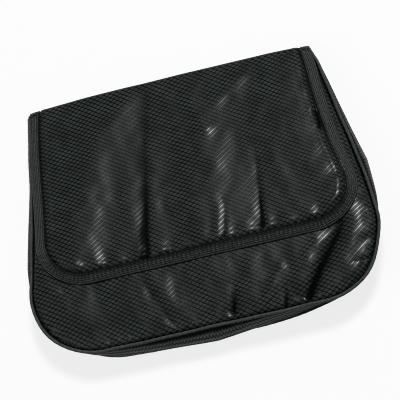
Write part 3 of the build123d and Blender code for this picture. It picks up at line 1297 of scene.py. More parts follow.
FRONT_FOLDS = (
    Fold(
        ((150, -62), (144, -73), (133, -87), (120, -104), (110, -119), (101, -134)),
        -4.8, 8, 0.7, 1.0, 0.7, -0.35,
    ),
    Fold(((160, -80), (150, -98), (138, -118)), 2.0, 16, 0.8, 0.6),
    Fold(((122, -76), (108, -95), (92, -115)), 2.0, 10, 0.8, 0.7),
    Fold(((81, -121), (79, -129), (77, -137)), -2.4, 4, 0.5, 1.0, 0.6),
    Fold(((28, -106), (25, -119), (22, -132)), -3.2, 5, 0.4, 1.0, 0.7),
    Fold(((-51, -88), (-42, -108), (-34, -126)), 1.2, 9, 0.8, 0.9),
    Fold(((-66, -80), (-52, -108), (-44, -128)), -1.3, 7, 0.5, 0.9, 0.3),
    Fold(((78, -97), (70, -109), (60, -125)), 2.0, 6, 0.6, 1.0),
    Fold(((52, -84), (46, -105), (40, -128)), 1.2, 9, 0.7, 0.9),
    Fold(((-178, -53), (-170, -60), (-160, -68)), 1.4, 4, 0.8, 0.9),
    Fold(((-120, -84), (-112, -105), (-104, -128)), -0.9, 12, 0.6, 1.0),
)

FLAP_FOLDS = (
    Fold(
        ((-27, 129), (-34, 95), (-41, 61), (-47, 27), (-52, -4), (-56, -24), (-58, -52)),
        -1.6, 9, 0.35, 1.0, 0.2, 0.4,
    ),
    Fold(
        ((-72, 140), (-82, 116), (-90, 94), (-100, 61), (-110, 28), (-120, 1), (-130, -30)),
        5.0, 27, 1.0, 0.75,
    ),
    Fold(((126, 135), (133, 66), (145, 0), (148, -35)), 3.6, 26, 0.8, 0.9),
    Fold(((14, 140), (24, 80), (30, 20), (34, -30)), 1.6, 30, 1.0, 0.8),
    Fold(((78, 30), (74, 10), (73, -5), (71, -20), (70, -33), (69, -48)), -1.3, 5, 0.3, 1.0, 0.3, 0.3),
    Fold(((32, -14), (31, -24), (29, -36), (27, -50)), -0.9, 4.5, 0.4, 1.0, 0.3, 0.3),
    Fold(((26, -16), (23, -32), (18, -50)), 0.9, 6, 0.5, 1.0),
    Fold(((12, 140), (17, 124), (21, 110), (26, 95), (30, 78)), 1.8, 8, 0.5, 0.9),
    Fold(((6, 138), (8, 120), (10, 100), (12, 80)), -1.1, 10, 0.5, 0.8),
    Fold(((-2, 6), (1, -18), (4, -38), (8, -54)), 1.7, 15, 0.6, 0.8),
    Fold(((50, 108), (63, 118), (71, 123), (78, 128)), 1.6, 9, 0.8, 0.8),
    Fold(((100, 20), (104, 0), (108, -22), (110, -44)), 1.6, 16, 0.4, 1.0),
    Fold(((155, 66), (156, 56), (155, 46)), -1.4, 4, 0.9, 0.8, 0.4),
    Fold(((-140, 60), (-146, 20), (-150, -20)), -1.2, 14, 0.5, 1.0),
)


@dataclass
class Shell:
    """The pouch itself: panels, gusset, pipings, seam bindings and the mouth's binding.

    Attributes:
        form: The shared sizes.
        cloth: Thickness of the panels and the gusset.
        fine: Small wrinkles of the panels.
        broad: Soft wrinkles of the front.
        free: Distance from the seam at which the front's wrinkles are full.
        pucker: Fine gathers of the front along its seam.
        gather: Broader gathers of the front along its seam.
        shown: Y under which the front starts to show, length over which it does, and least share.
        dip: How far the front turns down into its seam.
        dip_shade: How dark it is there.
        crease_full: Depth from which a crease of the front gets its full painted shade.
        crease_share: How dark the painted shade of the deepest crease is.
        back_seam: How far outside the back's outline the gusset starts, and how high above its face.
        front_seam: How far outside the front's outline it ends, and how high above its seam.
        swell: Share of the way along the U to how far the gusset bulges there.
        pleat: Size of the gusset's pleat.
        pleat_lips: Height of its two lips, for a size of 1.
        pleat_end: Share of the way down at which the pleat starts to fade, and the share it fades in.
        pleat_groove: The pleat's inner fold, across the gusset.
        pleat_shade: Shade in that fold.
        seam_ripples: Gathers of the gusset along both its seams.
        seam_reach: Share of the gusset's width that they reach.
        seam_shades: Shades in both those seams.
        wander: A slow wave along the gusset's middle.
        tuck_in: How the gusset turns in under the front piping.
        piping_radius: Radius of a covered cord.
        cord_waves: How a cord strays from its seam.
        cord_gather: Share by which its cover swells and shrinks.
        allowance: Height of the tape over a seam allowance inside.
        allowance_wave: How that tape wanders.
        binding_width: Reach of the mouth's tape on each side of its edge.
        tape: Thickness of the mouth's tape.
        mouth_drop: How far the front's free edge lies under the panel's top line.
        mouth_half: Half of the length of the mouth's tape.
    """

    form: PouchForm
    cloth: float = 0.8
    fine: Crumple = Crumple(11, 0.11, 30, 11)
    broad: Crumple = Crumple(12, 0.30, 90, 40, 20, 50)
    free: float = 9.0
    pucker: Pucker = Pucker(Ripple(0.35, 1.9), 4.0, 5.0)
    gather: Pucker = Pucker(Ripple(0.45, 4.1, 1.3), 8.0, 9.0)
    shown: tuple[float, float, float] = (20.0, 60.0, 0.15)
    dip: Groove = Groove(1.9, 0.0, 2.4)
    dip_shade: Groove = Groove(0.9, 0.0, 2.0)
    crease_full: float = 2.4
    crease_share: float = 0.95
    back_seam: tuple[float, float] = (0.9, 0.2)
    front_seam: tuple[float, float] = (1.6, -0.9)
    swell: tuple[tuple[float, float], ...] = (
        (0.0, 4.7), (0.07, 3.0), (0.2, 5.8), (0.26, 0.8), (0.36, 1.2), (0.42, 7.6), (0.5, 9.7),
        (0.58, 2.4), (0.64, -5.0), (0.73, -4.2), (0.78, 3.2), (0.84, 9.0), (0.9, 5.8), (1.0, -2.4),
    )
    pleat: float = 1.5
    pleat_lips: float = 1.3
    pleat_end: tuple[float, float] = (0.62, 0.25)
    pleat_groove: Groove = Groove(1.2, 0.5, 0.1)
    pleat_shade: Groove = Groove(0.8, 0.5, 0.07)
    seam_ripples: tuple[Ripple, Ripple] = (Ripple(0.35, 5.2), Ripple(0.245, 2.3, 1.7))
    seam_reach: float = 0.2
    seam_shades: tuple[Groove, Groove] = (Groove(1.0, 0.93, 0.1), Groove(0.8, 0.0, 0.06))
    wander: Ripple = Ripple(0.9, 23.0)
    tuck_in: Groove = Groove(1.4, 0.95, 0.035)
    piping_radius: float = 1.75
    cord_waves: tuple[Ripple, Ripple] = (Ripple(0.25, 19.0), Ripple(0.18, 8.3, 1.0))
    cord_gather: Ripple = Ripple(0.035, 1.35)
    allowance: float = 8.4
    allowance_wave: Ripple = Ripple(0.15, 6.0)
    binding_width: float = 12.0
    tape: float = 0.7
    mouth_drop: float = 8.0
    mouth_half: float = 152.5

    def front_relief(self, x: Array, y: Array) -> Array:
        """Wrinkles of the front panel, which fade out at the mouth.

        Args:
            x: Places along X.
            y: Places along Y.

        Returns:
            Heights to add.
        """
        inset = self.form.panel.inset(x, y)
        free = fade(inset, 0, self.free)
        run = self.form.panel.edge_run(x, y)
        folds = sum(fold.height(x, y) for fold in FRONT_FOLDS)
        waves = self.fine.height(x, y) + self.broad.height(x, y)
        gathers = self.pucker.at(run, inset) + self.gather.at(run, inset) * free
        start, length, least = self.shown
        return (folds * free + waves * free + gathers) * np.clip((start - y) / length, least, 1)

    def surface(self, x: Array, y: Array) -> Array:
        """Height of the front panel with its wrinkles."""
        return self.form.front_z(x, y) + self.front_relief(x, y)

    def front_cloth(self) -> Piece:
        """The front panel, from the mouth to its piped seam."""
        net = self.form.panel.grown(-0.3, -self.mouth_drop).net(250, 176)
        x, y = net[..., 0], net[..., 1]
        inset = self.form.panel.inset(x, y)
        face = self.form.settle(joined(x, y, self.surface(x, y) - self.dip.at(inset)))
        # Painted shade in the seam's dip and in the narrow creases
        creases = self.crease_share * crease_shade(FRONT_FOLDS, x, y, self.crease_full)
        painted_shade = np.maximum(self.dip_shade.at(inset), creases)
        made = sheet_piece("front_cloth", face, joined(x, y, painted_shade), self.cloth, RIPSTOP)
        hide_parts("front_panel")
        return made

    def back_cloth(self) -> Piece:
        """The flat back panel, whose outer side faces the table."""
        net = self.form.back.grown(1.5).net(120, 90)
        x, y = net[..., 0], net[..., 1]
        z = self.form.back_z + np.clip(self.fine.height(x, y), 0, 0.5)
        face = self.form.settle(joined(x, y, z))[::-1]
        made = sheet_piece("back_cloth", face, net[::-1], self.cloth, RIPSTOP)
        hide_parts("back_panel")
        return made

    def gusset_face(self, stations: int, rounds: int) -> tuple[Array, Array]:
        """The gusset's outer side, from the back seam to the front one.

        Args:
            stations: Places along the U.
            rounds: Places from back to front.

        Returns:
            Places and places on the flat cloth.
        """
        run = np.linspace(0, 1, stations)
        (rear_grow, rear_lift), (fore_grow, fore_lift) = self.back_seam, self.front_seam
        rear = self.form.back.grown(rear_grow)
        fore = self.form.panel.grown(fore_grow)
        back = rear.at(run * rear.total)[0]
        front, normal = fore.at(run * fore.total)
        share = np.linspace(0, 1, rounds)[None, :]
        low = self.form.back_z + rear_lift
        high = self.form.seam_z(front[:, 1])[:, None] + fore_lift
        z = low + (high - low) * share
        side = 1 - fade(self.form.depth(back[:, 1])[:, None], *self.pleat_end)
        length = run[:, None] * self.form.panel.total
        out = self.gusset_bulge(run[:, None], length, share, side)
        place = back[:, None, :] * (1 - share[..., None]) + front[:, None, :] * share[..., None]
        place = place + normal[:, None, :] * out[..., None]
        # Painted shade along both seams and in the pleat's inner fold
        seams = sum(shade.at(share) for shade in self.seam_shades)
        painted_shade = np.clip(seams + side * self.pleat_shade.at(share), 0, 1)
        face = np.concatenate([place, z[..., None]], -1)
        return self.form.settle(face), joined(length, z, painted_shade)

    def gusset_bulge(self, run: Array, length: Array, share: Array, side: Array) -> Array:
        """How far the gusset stands out between its seams.

        Args:
            run: Shares of the way along the U.
            length: Lengths along the U.
            share: Shares of the way from the back seam to the front one.
            side: 1 along the sides, where the pleat is, and 0 along the bottom.

        Returns:
            Distances outwards.
        """
        arch = np.sin(math.pi * share)
        out = np.interp(run, *zip(*self.swell)) * arch**0.75
        lips = (1 - np.cos(4 * math.pi * share)) / 2
        out += self.pleat * side * (self.pleat_lips * lips * arch - self.pleat_groove.at(share))
        near = hill(share, 0, self.seam_reach) + hill(share, 1, self.seam_reach)
        coarse, tight = self.seam_ripples
        out += (coarse.at(length, 3 * share) + tight.at(length)) * near
        out += self.wander.at(length, 2.2 * share) * arch
        return out - self.tuck_in.at(share)

    def gusset(self) -> Piece:
        """The plain strip round the sides and the bottom."""
        face, weave = self.gusset_face(760, 34)
        made = sheet_piece("gusset_cloth", face[::-1], weave[::-1], self.cloth, PLAIN)
        if signed_volume(made.data) < 0:
            made.data.flip_normals()
        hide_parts("gusset")
        return made

    def piping(self, name: str, grow: float, lift: float, tilted: bool, node: str) -> Piece:
        """A covered cord that follows a seam.

        Args:
            name: The piece's name.
            grow: How far outside the seam line the cord lies.
            lift: Height of its middle above the seam, or above the table.
            tilted: Whether it lies in the front seam.
            node: The frame's node that it stands for.

        Returns:
            The new object.
        """
        outline = (self.form.panel if tilted else self.form.back).grown(grow)
        run = np.linspace(0, 1, 900)
        place, normal = outline.at(run * outline.total)
        length = run * outline.total
        middle = self.form.seam_z(place[:, 1]) + lift if tilted else np.full(len(run), lift)
        place = place + normal * sum(wave.at(length) for wave in self.cord_waves)[:, None]
        turn = np.linspace(0, 2 * math.pi, 17)[None, :-1]
        radius = self.piping_radius * (1 + self.cord_gather.at(length))[:, None]
        flat = beside(place, normal, radius * np.cos(turn))
        up = middle[:, None] + radius * np.sin(turn)
        rings = self.form.settle(np.concatenate([flat, up[..., None]], -1))
        # The third cloth value is painted shade on the cord's two flanks, beside the seams
        weave = joined(length[:, None], turn * self.piping_radius, np.abs(np.cos(turn)) ** 8)
        made = tube_piece(name, rings, weave, CORD_COVER)
        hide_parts(node)
        return made

    def seam_binding(self, name: str, front: bool, node: str) -> Piece:
        """Tape over a raw seam allowance inside the pouch.

        Args:
            name: The piece's name.
            front: Whether it hangs from the front seam, or stands on the back one.
            node: The frame's node that it stands for.

        Returns:
            The new object.
        """
        base = self.form.panel if front else self.form.back
        inwards, below = 1.9, 21.0 if front else 0.5
        outline = base.grown(-inwards, -below)
        run = np.linspace(0, outline.total, 420)
        place, normal = outline.at(run)
        half, slot, height = 0.75, 0.2, self.allowance
        outer = [(-half, 0.2), (-half, height), (0.0, height + 0.5), (half, height), (half, 0.2)]
        inner = [(slot, 0.2), (slot, height - 0.3), (-slot, height - 0.3), (-slot, 0.2)]
        across, along = np.array(outer + inner).T[:, None, :]
        flat = beside(place, normal, across + self.allowance_wave.at(run)[:, None])
        top = self.form.seam_z(place[:, 1])[:, None] - 1.2
        z = top - along if front else self.form.back_z + 1.0 + along + 0 * top
        rings = self.form.settle(np.concatenate([flat, z[..., None]], -1))
        weave = joined(run[:, None], along)
        made = tube_piece(name, rings, weave, SEAM_TAPE)
        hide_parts(node)
        return made

    def mouth_binding(self) -> Piece:
        """Tape folded over the front panel's top edge."""
        y_edge = self.form.panel.top_y - self.mouth_drop
        x = np.linspace(-self.mouth_half, self.mouth_half, 240)[:, None]
        reach = self.binding_width
        half = self.cloth / 2 + 0.3
        loop = [(reach, half + self.tape), (1.2, half + self.tape), (0.0, half), (-0.7, 0.0), (0.0, -half)]
        loop += [(1.2, -half - self.tape), (reach, -half - self.tape), (reach, -half), (1.0, -half + 0.1)]
        loop += [(0.4, 0.0), (1.0, half - 0.1), (reach, half)]
        inset, lift = np.array(loop).T[:, None, :]
        y = y_edge - inset + 0.2 + 0 * x
        base = self.surface(x + 0 * y, np.minimum(y, y_edge)) - self.cloth / 2
        rings = self.form.settle(joined(x, y, base + lift + Ripple(0.08, 1.1).at(x)))
        weave = joined(x, y)
        made = tube_piece("mouth_edge_tape", rings, weave, EDGE_TAPE)
        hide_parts("mouth_binding")
        return made

    def flap_seam_tape(self) -> Piece:
        """Flat tape inside the back panel's top edge."""
        x = np.linspace(-152, 152, 120)[:, None]
        y = np.linspace(self.form.panel.top_y - 0.5, self.form.panel.top_y - 12, 8)[None, :]
        z = self.form.back_z + 1.6 + Ripple(0.1, 4.0).at(x)
        made = sheet_piece("flap_seam_cover", joined(x, y, z), joined(x, y), 0.6, SEAM_TAPE)
        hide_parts("flap_seam_tape")
        return made

    def build(self) -> list[Piece]:
        """Builds the shell.

        Returns:
            Every piece of it, riding on the pouch.
        """
        made = [
            self.front_cloth(),
            self.back_cloth(),
            self.gusset(),
            self.piping("front_cord", grow=1.9, lift=0.2, tilted=True, node="front_piping"),
            self.piping("back_cord", grow=0.0, lift=1.76, tilted=False, node="back_piping"),
            self.seam_binding("front_seam_cover", front=True, node="front_seam_binding"),
            self.seam_binding("back_seam_cover", front=False, node="back_seam_binding"),
            self.mouth_binding(),
            self.flap_seam_tape(),
        ]
        y_line = self.form.panel.top_y - self.mouth_drop - self.binding_width + 2.2
        x = np.linspace(-151, 151, 200)
        y = np.full_like(x, y_line)
        line = self.form.settle(joined(x, y, self.surface(x, y) + 0.75))
        made.append(stitch_piece("mouth_tape_stitches", line))
        for piece in made:
            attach(piece, Body.POUCH.value)
        return made


Counts = tuple[int, int, int]


@dataclass
class Flap:
    """The flap and its spine: outer cloth, lining and edge tape.

    Each ply is one run of cloth from the back panel's top edge, up the spine, over the front fold and down
    the front. It is cut at the middle of the spine, where neither fold turns it.

    Attributes:
        form: The shared sizes.
        gap: How far the flap's outer side stands above the rounded front.
        cloth: Thickness of the outer cloth.
        lining: Thickness of the lining.
        lining_drop: How far under the outer side the lining's own outer side lies.
        tape: Thickness of the edge tape.
        binding_width: Reach of the edge tape on each side of the edge.
        fold_round: Radius of the front fold.
        foot_round: Radius of the back fold.
        spine_out: How far the spine stands beyond the top line.
        cut_z: Height at which the plies are cut.
        lap: How far the spine's plies reach under the back panel's edge.
        painted_tooth: Length of one dark stripe of painted shade across the edge tape, the shade of a gather.
        tape_gather: Fine gathers of the edge tape by its seam.
        tape_uneven: How much earlier or later they come, in radians.
        tape_calm: Share of their height that is lost along the flap's sides.
        tape_waves: Soft waves of the tape's outer edge.
        fold_fade: Distance down from the front fold in which the folds grow to their size.
        fold_least: Share of the folds' size that stays at the front fold.
        edge_free: Distance from the edge at which wrinkles grow, and over which they do.
        edge_least: Share of them that stays at the edge.
        foot_band: Y under which the seam's gathers start to show, length over which they do, and
            least share.
        room: Height that folds may have at the front fold, so that the opened flap stays off the floor.
        room_slope: How much more they may have for each millimetre down.
        waist: Distance down the flap to how far its right side is drawn in there.
        waist_start: X from which it is drawn in.
        waist_width: Distance along X in which the pull grows to its size.
        groove: How the cloth dips under the edge tape's seam.
        welt: How the cloth swells beside that seam.
        teeth: Fine gathers of the cloth beside the seam.
        gather: Broader gathers of the cloth beside the seam.
        droop: How far the lower edge turns down.
        droop_band: Y up to which it does so fully, and length over which it stops.
        seam_shade: Shade in the tape's seam.
        crease_full: Depth from which a crease gets its full painted shade.
        crease_share: How dark the painted shade of the deepest crease is.
        fine: Small wrinkles.
        broad: Soft wrinkles.
    """

    form: PouchForm
    gap: float = 3.7
    cloth: float = 0.8
    lining: float = 0.6
    lining_drop: float = 0.95
    tape: float = 0.65
    binding_width: float = 12.0
    fold_round: float = 7.5
    foot_round: float = 3.0
    spine_out: float = 1.2
    cut_z: float = 17.0
    lap: float = 9.0
    painted_tooth: float = 4.6
    tape_gather: Ripple = Ripple(0.45, 0.42)
    tape_uneven: Ripple = Ripple(0.8, 9.0)
    tape_calm: float = 2 / 3
    tape_waves: tuple[Ripple, Ripple] = (Ripple(0.175, 6.5), Ripple(0.125, 2.9, 1.0))
    fold_fade: float = 22.0
    fold_least: float = 0.35
    edge_free: tuple[float, float] = (6.0, 14.0)
    edge_least: float = 0.25
    foot_band: tuple[float, float, float] = (20.0, 30.0, 0.25)
    room: float = 0.3
    room_slope: float = 0.1
    waist: tuple[tuple[float, float], ...] = (
        (0, 0), (40, 3.2), (80, 5.8), (120, 7.2), (150, 4.5), (185, 0.8), (200, 0)
    )
    waist_start: float = 40.0
    waist_width: float = 110.0
    groove: Groove = Groove(1.7, 12.9, 1.4)
    welt: Groove = Groove(0.7, 18.0, 3.5)
    teeth: Pucker = Pucker(Ripple(0.08, 1.15), 14.5, 4.0)
    gather: Pucker = Pucker(Ripple(0.5, 3.7, 0.6), 19.0, 8.0)
    droop: Groove = Groove(2.0, 0.0, 4.0)
    droop_band: tuple[float, float] = (-20.0, 60.0)
    seam_shade: Groove = Groove(0.9, 12.4, 1.3)
    crease_full: float = 1.2
    crease_share: float = 0.9
    fine: Crumple = Crumple(21, 0.10, 34, 12, 10, 60)
    broad: Crumple = Crumple(22, 0.32, 110, 45, 0, 35)

    def lift(self, x: Array, y: Array) -> Array:
        """Height of the flap's outer side on the front, with its wrinkles.

        Args:
            x: Places along X.
            y: Places along Y.

        Returns:
            Heights above the table.
        """
        inset = self.form.flap.inset(x, y)
        run = self.form.flap.edge_run(x, y)
        drop = self.form.flap.top_y - y
        below = fade(drop, 0, self.fold_fade)
        free = self.edge_least + (1 - self.edge_least) * fade(inset, *self.edge_free)
        folds = sum(fold.height(x, y) for fold in FLAP_FOLDS) * free
        folds = folds * (self.fold_least + (1 - self.fold_least) * below)
        folds = folds + (self.fine.height(x, y) + self.broad.height(x, y)) * free * below
        room = self.room + self.room_slope * np.clip(drop, 0, None)
        ease = 1 / (1 + (np.clip(folds, 0, None) / room) ** 4) ** 0.25
        seam = self.welt.at(inset) - self.groove.at(inset)
        start, length, least = self.foot_band
        foot = np.clip((start - y) / length, least, 1)
        gathers = (self.teeth.at(run, inset) + self.gather.at(run, inset)) * foot
        droop = self.droop.at(inset) * (1 - fade(y, *self.droop_band))
        return self.form.front_z(x, y) + self.gap - droop + folds * ease + seam + gathers

    def hang(self, points: Array) -> Array:
        """Draws in the flap's right side, and settles it as the rest of the pouch.

        Args:
            points: Places with three columns.

        Returns:
            The moved places.
        """
        moved = np.array(points, float)
        drawn = np.interp(self.form.flap.top_y - points[..., 1], *zip(*self.waist))
        moved[..., 0] -= drawn * eased(fade(points[..., 0], self.waist_start, self.waist_width))
        return self.form.settle(moved)

    def profile(self, run: Array, x: Array, drop: float) -> tuple[Array, Array]:
        """Y and Z at lengths from the front fold: negative lengths go down the spine.

        Args:
            run: Lengths from the top of the fold, positive down the front.
            x: Places along X.
            drop: How far under the outer side the ply lies.

        Returns:
            Y and Z of the places.
        """
        bend = self.fold_round
        quarter = bend * math.pi / 2
        start = self.form.flap.top_y + self.spine_out - bend
        angle = np.clip(-run / bend, 0, math.pi / 2)
        top = self.lift(x, np.minimum(start - np.maximum(run, 0), start))
        crest = self.lift(x, np.full_like(x, start))
        y = start - np.maximum(run, 0) + (bend - drop) * np.sin(angle)
        spine = np.maximum(-run - quarter, 0)
        z = np.where(run > 0, top - drop, crest - bend + (bend - drop) * np.cos(angle) - spine)
        return y, z

    @property
    def spine_run(self) -> float:
        """Length from the front fold down the spine to the cut."""
        crest = float(self.lift(np.zeros(1), np.array([self.form.flap.top_y - self.fold_round]))[0])
        return self.fold_round * math.pi / 2 + (crest - self.fold_round - self.cut_z)

    def front_ply(
        self, name: str, drop: float, thickness: float, finish: ClothFinish, grow: float, counts: Counts
    ) -> Piece:
        """A ply from the spine's cut, over the fold and down the front.

        Args:
            name: The piece's name.
            drop: How far under the outer side the ply's outer side lies.
            thickness: Thickness of the ply.
            finish: The finish that covers it.
            grow: Growth of the flap's outline, negative inside its tape.
            counts: Places across, down the front and over the fold.

        Returns:
            The new object.
        """
        start_y = self.form.flap.top_y + self.spine_out - self.fold_round
        outline = self.form.flap.grown(grow, start_y - self.form.flap.top_y)
        net = outline.net(counts[0], counts[1])
        x, y = net[..., 0], net[..., 1]
        down = joined(x, y, self.lift(x, y) - drop)
        over = np.linspace(-self.spine_run, 0, counts[2], endpoint=False)[None, :]
        x_top = x[:, :1] + 0 * over
        y_top, z_top = self.profile(over + 0 * x_top, x_top, drop)
        face = self.hang(np.concatenate([joined(x_top, y_top, z_top), down], 1))
        weave = np.concatenate([joined(x_top, start_y - over), net], 1)
        inset = self.form.flap.inset(weave[..., 0], weave[..., 1])
        # Painted shade under the edge tape's seam and in the narrow creases
        creases = crease_shade(FLAP_FOLDS, weave[..., 0], weave[..., 1], self.crease_full)
        painted_shade = np.maximum(self.seam_shade.at(inset), self.crease_share * creases)
        return sheet_piece(name, face, joined(weave[..., 0], weave[..., 1], painted_shade), thickness, finish)

    def blend_fold(self, piece: Piece) -> None:
        """Bakes a piece's transform into its mesh, and bends nothing."""
        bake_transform(piece)

    def blend_foot(self, piece: Piece) -> None:
        """Bakes a piece's transform into its mesh, and bends nothing."""
        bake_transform(piece)

    def foot_ply(self, name: str, drop: float, thickness: float, finish: ClothFinish, half: float) -> Piece:
        """A ply from the back panel's top edge up to the spine's cut.

        Args:
            name: The piece's name.
            drop: How far inside the outer side the ply's outer side lies.
            thickness: Thickness of the ply.
            finish: The finish that covers it.
            half: Half of the ply's width.

        Returns:
            The new object.
        """
        outer_y = self.form.flap.top_y + self.spine_out
        bend = self.foot_round
        low = self.form.back_z - 0.9
        wall = np.linspace(self.cut_z, low + bend, 14)
        angle = np.linspace(0, math.pi / 2, 9)[1:]
        lap = np.linspace(0, self.lap, 8)[1:]
        reach = bend - drop
        y = [np.full(14, outer_y - drop), outer_y - bend + reach * np.cos(angle), outer_y - bend - lap]
        z = [wall, low + bend - reach * np.sin(angle), np.full(7, low + drop)]
        y, z = np.concatenate(y), np.concatenate(z)
        x = np.linspace(-half, half, 160)[:, None]
        run = np.concatenate([[0], np.cumsum(np.hypot(np.diff(y), np.diff(z)))])
        weave = joined(x, self.form.flap.top_y + 30 + run[None, :])
        face = self.form.settle(joined(x, y[None, :], z[None, :]))
        return sheet_piece(name, face[::-1], weave[::-1], thickness, finish)

    def edge_tape(self) -> Piece:
        """Tape folded over the flap's sides and lower edge, gathered by its seam."""
        outline = self.form.flap.grown(0, self.spine_out - self.fold_round)
        run = np.linspace(0, outline.total, 1500)
        place, normal = outline.at(run)
        side = fade(place[:, 1], self.form.flap.top_y - self.form.flap.height + 18, 30)[:, None]
        half = (self.cloth + self.lining) / 2 + 0.25
        t = self.tape
        w = self.binding_width
        loop = np.array([
            (w, half + 0.15), (w - 0.6, half + t * 0.8), (w - 2.5, half + t * 0.75), (w - 4, half + t + 0.25),
            (w / 2, half + t + 0.5), (3.0, half + t + 0.4), (1.2, half + t), (0.3, half * 0.8), (0.0, 0.0),
            (0.3, -half * 0.8), (1.2, -half - t), (3.0, -half - t), (w / 2, -half - t), (w, -half - t),
            (w, -half), (w / 2, -half), (1.6, -half), (0.9, 0.0), (1.6, half), (w / 2, half), (w - 2, half),
        ])
        inset, lift = loop.T[:, None, :]
        flat = beside(place, normal, -inset)
        held = beside(place, normal, -np.minimum(inset, w - 3.5))
        base = self.lift(held[..., 0], held[..., 1]) - half
        length = run[:, None]
        gather = self.tape_gather.at(length, self.tape_uneven.at(length)) * (1 - self.tape_calm * side)
        gather = gather * hill(inset, w - 4.5, 4.0) * (lift > 0)
        wave = sum(wave.at(length) for wave in self.tape_waves) * (1 - 0.5 * side)
        z = base + lift + gather + wave * (1 - fade(inset, 0, w))
        rings = self.hang(joined(flat[..., 0], flat[..., 1], z))
        # Painted shade on the tape: along the lower edge a darker inner band and dark stripes for the shade
        # of its roll and gathers, along the sides a dark inner edge by its seam
        teeth = 0.5 - 0.5 * np.cos(2 * math.pi * length / self.painted_tooth)
        front = np.maximum(fade(inset, 6, 3) * (0.75 + 0.25 * teeth), 0.75 * teeth * fade(inset, 1.5, 2))
        painted_shade = front * (1 - side) + fade(inset, w - 2.2, 2) * side
        weave = joined(length, inset, painted_shade)
        made = tube_piece("flap_edge_tape", rings, weave, EDGE_TAPE)
        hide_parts("flap_binding")
        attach(made, Body.FLAP.value)
        stitch_outline = outline.grown(-w + 2.4, -2.0)
        line, _ = stitch_outline.at(np.linspace(0, stitch_outline.total, 700))
        height = self.lift(line[:, 0], line[:, 1]) + t * 0.8 + 0.25
        stitches = stitch_piece("flap_tape_stitches", self.hang(np.column_stack([line, height])), 2.6, 0.28)
        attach(stitches, Body.FLAP.value)
        return made

    def spine_tapes(self) -> list[Piece]:
        """Tape over the spine's two short ends, from the back fold to the front one."""
        made = []
        outer_y = self.form.flap.top_y + self.spine_out
        ply = self.cloth + self.lining
        t = self.tape
        z = np.linspace(self.form.back_z + 2.2, self.form.mouth_z - 0.5, 40)[:, None]
        loop = np.array([
            (0.0, 0.3), (-t, 0.0), (-t, -ply), (0.0, -ply - t), (-11.5, -ply - t - 0.1), (-11.5, -ply - 0.1),
            (-0.6, -ply), (-0.6, -0.1), (-11.5, 0.05), (-11.5, 0.6), (-6.0, 0.75),
        ])
        across, out = loop.T[:, None, :]
        y = outer_y + out + Ripple(0.08, 1.1).at(z)
        for side in Side:
            x = side.value * (self.form.flap.top_half + 0.2 + across)
            rings = self.form.settle(joined(x, y, z))
            weave = joined(z, across)
            piece = tube_piece(f"spine_end_tape_{side.word}", rings, weave, EDGE_TAPE)
            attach(piece, Body.SPINE.value)
            made.append(piece)
        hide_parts("spine_edge_bindings")
        return made

    def build(self) -> None:
        """Builds the flap and its spine."""
        half = self.form.flap.top_half - 0.8
        plies = (
            ("cloth", "panel", 0.0, self.cloth, RIPSTOP, -0.8, (236, 156, 26)),
            ("lining_cloth", "lining", self.lining_drop, self.lining, LINING, -0.9, (150, 100, 18)),
        )
        for word, node, drop, thickness, finish, grow, counts in plies:
            made = self.front_ply(f"flap_{word}", drop, thickness, finish, grow, counts)
            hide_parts(f"flap_{node}")
            self.blend_fold(made)
        for word, node, drop, thickness, finish, _, _ in plies:
            made = self.foot_ply(f"spine_{word}", drop, thickness, finish, half)
            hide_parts(f"spine_{node}")
            self.blend_foot(made)
        self.edge_tape()
        self.spine_tapes()


@dataclass
class Closure:
    """Two strips of hooks under the flap over two strips of loops on the front.

    Attributes:
        form: The shared sizes.
        shell: The pouch, whose front the loops lie on.
        flap: The flap, which the hooks hang from.
        width: Length of a strip, which runs across the pouch.
        height: Width of a strip.
        spacing: Distance between the middles of the two.
        above_edge: How far the strips lie above the edge tape's seam.
        hook_pitch: Distance between hooks.
        hook_height: Height of a hook.
        loop_top: How far the loops' pile stands above the front.
        base_drop: How far under the flap's outer side the hook tape's upper side lies.
        hook_drop: How far under it the hooks stand.
    """

    form: PouchForm
    shell: Shell
    flap: Flap
    width: float = 100.0
    height: float = 25.0
    spacing: float = 170.0
    above_edge: float = 18.0
    hook_pitch: float = 1.7
    hook_height: float = 0.5
    loop_top: float = 1.0
    base_drop: float = 1.65
    hook_drop: float = 1.95

    def patch(self, side: Side, columns: int, rows: int) -> Array:
        """Places of a strip in plan.

        Args:
            side: Which strip.
            columns: Places across.
            rows: Places down.

        Returns:
            Places with shape columns, rows, 2.
        """
        low = self.form.flap.top_y - self.form.flap.height + self.flap.binding_width + self.above_edge
        x = side.value * self.spacing / 2 + np.linspace(-0.5, 0.5, columns)[:, None] * self.width
        y = low + np.linspace(1, 0, rows)[None, :] * self.height
        return joined(x, y)

    def build(self) -> None:
        """Builds both closures."""
        for side in Side:
            plan = self.patch(side, 60, 18)
            x, y = plan[..., 0], plan[..., 1]
            face = self.form.settle(joined(x, y, self.shell.surface(x, y) + self.loop_top))
            loops = sheet_piece(f"front_loop_strip_{side.word}", face, plan, 0.9, LOOP_PILE)
            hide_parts(f"closure_loop_{side.word}")
            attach(loops, Body.POUCH.value)
            face = self.form.settle(joined(x, y, self.flap.lift(x, y) - self.base_drop))
            strip = sheet_piece(f"flap_hook_strip_{side.word}", face, plan, 0.35, HOOK_BASE)
            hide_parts(f"closure_hook_{side.word}")
            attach(strip, Body.FLAP.value)
            self.hooks(side)

    def hooks(self, side: Side) -> None:
        """Rows of hooks on the underside of a strip.

        Args:
            side: Which strip.
        """
        columns = int(self.width / self.hook_pitch) - 1
        rows = int(self.height / self.hook_pitch) - 1
        plan = self.patch(side, columns, rows).reshape(-1, 2)
        middle = plan.mean(0)
        plan = middle + (plan - middle) * 0.96
        z = self.flap.lift(plan[:, 0], plan[:, 1]) - self.hook_drop
        places = self.form.settle(np.column_stack([plan, z]))
        made = hook_piece(f"flap_hooks_{side.word}", places, self.hook_height, True, 3)
        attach(made, Body.FLAP.value)


